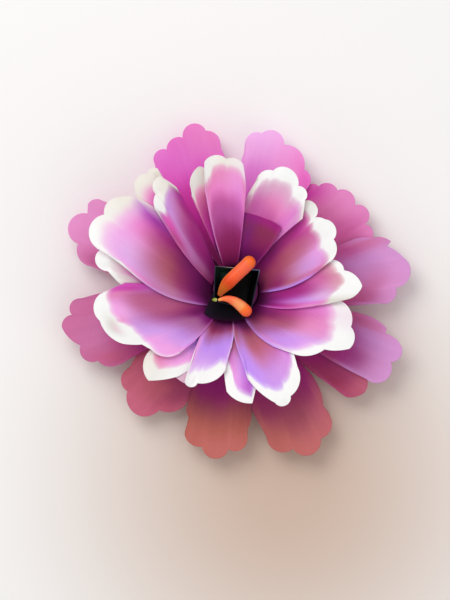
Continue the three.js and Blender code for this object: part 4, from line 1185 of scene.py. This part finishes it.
def makeStamen(which):
    # A round rod along a smooth curve through its points. It swells as the sine of its share
    # of the swelling length, and each end is closed by a half ball.
    part = stamen[which]
    points = np.array(part["points"])
    steps = np.linalg.norm(np.diff(points, axis=0), axis=1)
    stations = np.concatenate([[0], np.cumsum(steps)]) / steps.sum()
    curve = [np.polyfit(stations, points[:, axis], len(points) - 1) for axis in (0, 1)]
    ballTurn = np.linspace(0, np.pi / 2, stamen["ballSteps"])[1:-1]
    rod = np.linspace(0, 1, stamen["rodSteps"])
    share = np.concatenate([np.zeros_like(ballTurn), rod, np.ones_like(ballTurn)])
    swollen = np.sin(np.minimum(1, share / part["swelling"]) * np.pi / 2)
    radius = part["radius"] * (part["start"] + (1 - part["start"]) * swollen)
    size = np.concatenate([np.sin(ballTurn), np.ones_like(rod), np.cos(ballTurn)])
    shift = np.concatenate([-np.cos(ballTurn), np.zeros_like(rod), np.sin(ballTurn)]) * radius
    centre = np.stack([np.polyval(axis, share) for axis in curve], axis=-1)
    heading = np.stack([np.polyval(np.polyder(axis), share) for axis in curve], axis=-1)
    heading = heading / np.linalg.norm(heading, axis=1, keepdims=True)
    centre = centre + heading * shift[:, None]
    turn = np.linspace(0, 2 * np.pi, stamen["around"], endpoint=False)
    across = np.stack([-heading[:, 1], heading[:, 0]], axis=-1)
    plan = centre[:, None] + across[:, None] * (size * radius)[:, None, None] * np.cos(turn)[:, None]
    low, high = (corner[2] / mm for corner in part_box(f"stamen_{which}"))
    level = (low + high) / 2
    height = level + (size * radius)[:, None] * np.sin(turn)
    rings = np.concatenate([plan, height[..., None]], axis=-1)
    thinPole = (*(centre[0] - heading[0] * stamen["pole"]), level)
    roundPole = (*(centre[-1] + heading[-1] * stamen["pole"]), level)
    piece = ringMesh(f"{which}Stamen", rings, thinPole, roundPole)
    places, ramp = zip(*part["tones"])
    colours = rampColour(share, places, ramp)[:, None] * np.ones((stamen["around"], 1))
    # painted highlight and shade along the rod's two flanks
    for tone, lean in zip(part["sides"], (1, -1)):
        weight = np.clip(lean * np.cos(turn), 0, 1) ** stamen["sideLightPower"] * stamen["sideLightStrength"]
        colours = mixColour(colours, weight * np.ones((len(share), 1)), tone)
    addColour(piece, "paint", withPoles(colours, ramp[0], ramp[-1]))
    piece.data.materials.append(paintedPaper(f"{which}StamenPaper", stamen["finish"]))
    return piece


# The bud at the bent stamen's thin end
bud = {
    "squeeze": 0.35,
    "alongSteps": 22, "around": 32,
    "body": (128, 146, 34), "tip": (222, 226, 150),
    "finish": {"fibre": {"scale": 1600, "strength": 0.3, "mottle": 0.15}, "roughness": 0.55, "gloss": 0.25},
}


def makeBud():
    # a ball as long as its box, squeezed towards its free end by the square of the way there
    low, high = (np.array(tuple(corner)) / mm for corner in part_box("stamen_bud"))
    middle, half = (low + high) / 2, (high - low) / 2
    along = np.linspace(0, np.pi, bud["alongSteps"])[1:-1, None]
    turn = np.linspace(0, 2 * np.pi, bud["around"], endpoint=False)
    free = (1 + np.cos(along)) / 2
    size = np.sin(along) * (1 - bud["squeeze"] * free ** 2)
    x = middle[0] - half[0] * np.cos(along) * np.ones_like(turn)
    y = middle[1] + half[1] * size * np.cos(turn)
    z = middle[2] + half[2] * size * np.sin(turn)
    rings = np.stack([x, y, z], axis=-1)
    piece = ringMesh("yellowBud", rings, (low[0], *middle[1:]), (high[0], *middle[1:]))
    weight = (1 - free) ** 2 * np.ones_like(turn)
    colours = mixColour(np.array(bud["body"], dtype=float), weight, bud["tip"])
    addColour(piece, "paint", withPoles(colours, bud["body"], bud["tip"]))
    piece.data.materials.append(paintedPaper("budPaper", bud["finish"]))
    return piece


def makeCentre():
    centrePieces = {
        "centre_tray": makeTray(),
        "centre_leaf": makeLeaf(),
        "stamen_long": makeStamen("long"),
        "stamen_short": makeStamen("short"),
        "stamen_bud": makeBud(),
    }
    for node, piece in centrePieces.items():
        standIn(piece, node)
    print("centre made:", len(centrePieces), "pieces")


# Floor, lamps and camera
studio = {
    "floor": (251, 249, 247),
    "floorShadeTone": (212, 186, 168),  # painted shadow: the warm tone the floor falls off to, towards the lower right
    "floorShadePlace": (0.02, -0.08, 0.0),
    "floorShadeReach": 0.135,
    "floorSpan": 6.0,
    "floorRoughness": 0.9,
    "world": 0.6,
    "worldColour": (0.98, 0.98, 1.0),
    "lens": 371.0,
    "sensor": 36.0,
    "aimHeight": 20.0,  # the height, in mm, at which a pixel is as wide as photo says
    "clip": (0.05, 50),
    "key": {"place": (-0.5, 0.7, 1.0), "size": 1.0, "power": 8.2, "colour": (1.0, 1.0, 0.98)},
    "fill": {"place": (0.7, -0.5, 0.8), "size": 1.2, "power": 1.5, "colour": (1.0, 0.96, 0.92)},
}


def makeFloor():
    half = studio["floorSpan"] / 2
    corners = [(-half, -half, 0), (half, -half, 0), (half, half, 0), (-half, half, 0)]
    mesh = bpy.data.meshes.new("floor")
    mesh.from_pydata(corners, [], [(0, 1, 2, 3)])
    floor = bpy.data.objects.new("floor", mesh)
    bpy.context.scene.collection.objects.link(floor)
    material, tree, shader = newMaterial("floorPaper")
    distance = tree.nodes.new("ShaderNodeVectorMath")
    distance.operation = "DISTANCE"
    distance.inputs[1].default_value = studio["floorShadePlace"]
    tree.links.new(objectPlace(tree), distance.inputs[0])
    # painted shadow: the floor turns to the warm tone near floorShadePlace
    share = fade(tree, distance.outputs["Value"], studio["floorShadeReach"], 0.0)
    colour = blendColour(tree, share, linearRgba(studio["floor"]), linearRgba(studio["floorShadeTone"]))
    tree.links.new(colour, shader.inputs["Base Color"])
    shader.inputs["Roughness"].default_value = studio["floorRoughness"]
    mesh.materials.append(material)


def makeLamp(name, lamp):
    light = bpy.data.lights.new(name, "AREA")
    light.shape = "DISK"
    light.size = lamp["size"]
    light.energy = lamp["power"]
    light.color = lamp["colour"]
    item = bpy.data.objects.new(name, light)
    item.location = lamp["place"]
    item.rotation_euler = (-Vector(lamp["place"])).to_track_quat("-Z", "Y").to_euler()
    bpy.context.scene.collection.objects.link(item)


def makeWorld():
    world = bpy.data.worlds.new("studio")
    world.use_nodes = True
    back = world.node_tree.nodes["Background"]
    back.inputs["Color"].default_value = (*studio["worldColour"], 1.0)
    back.inputs["Strength"].default_value = studio["world"]
    bpy.context.scene.world = world


def makeCamera():
    camera = bpy.data.cameras.new("camera")
    camera.lens = studio["lens"]
    camera.sensor_width = studio["sensor"]
    camera.clip_start, camera.clip_end = studio["clip"]
    item = bpy.data.objects.new("camera", camera)
    item.location = cameraPlace()
    bpy.context.scene.collection.objects.link(item)
    bpy.context.scene.camera = item


makeCamera()
makeWorld()
makeFloor()
makeLamp("keyLamp", studio["key"])
makeLamp("fillLamp", studio["fill"])
print("studio made")
makePetals()
dressHidden()
makeCentre()

bpy.context.scene.view_settings.view_transform = "Standard"
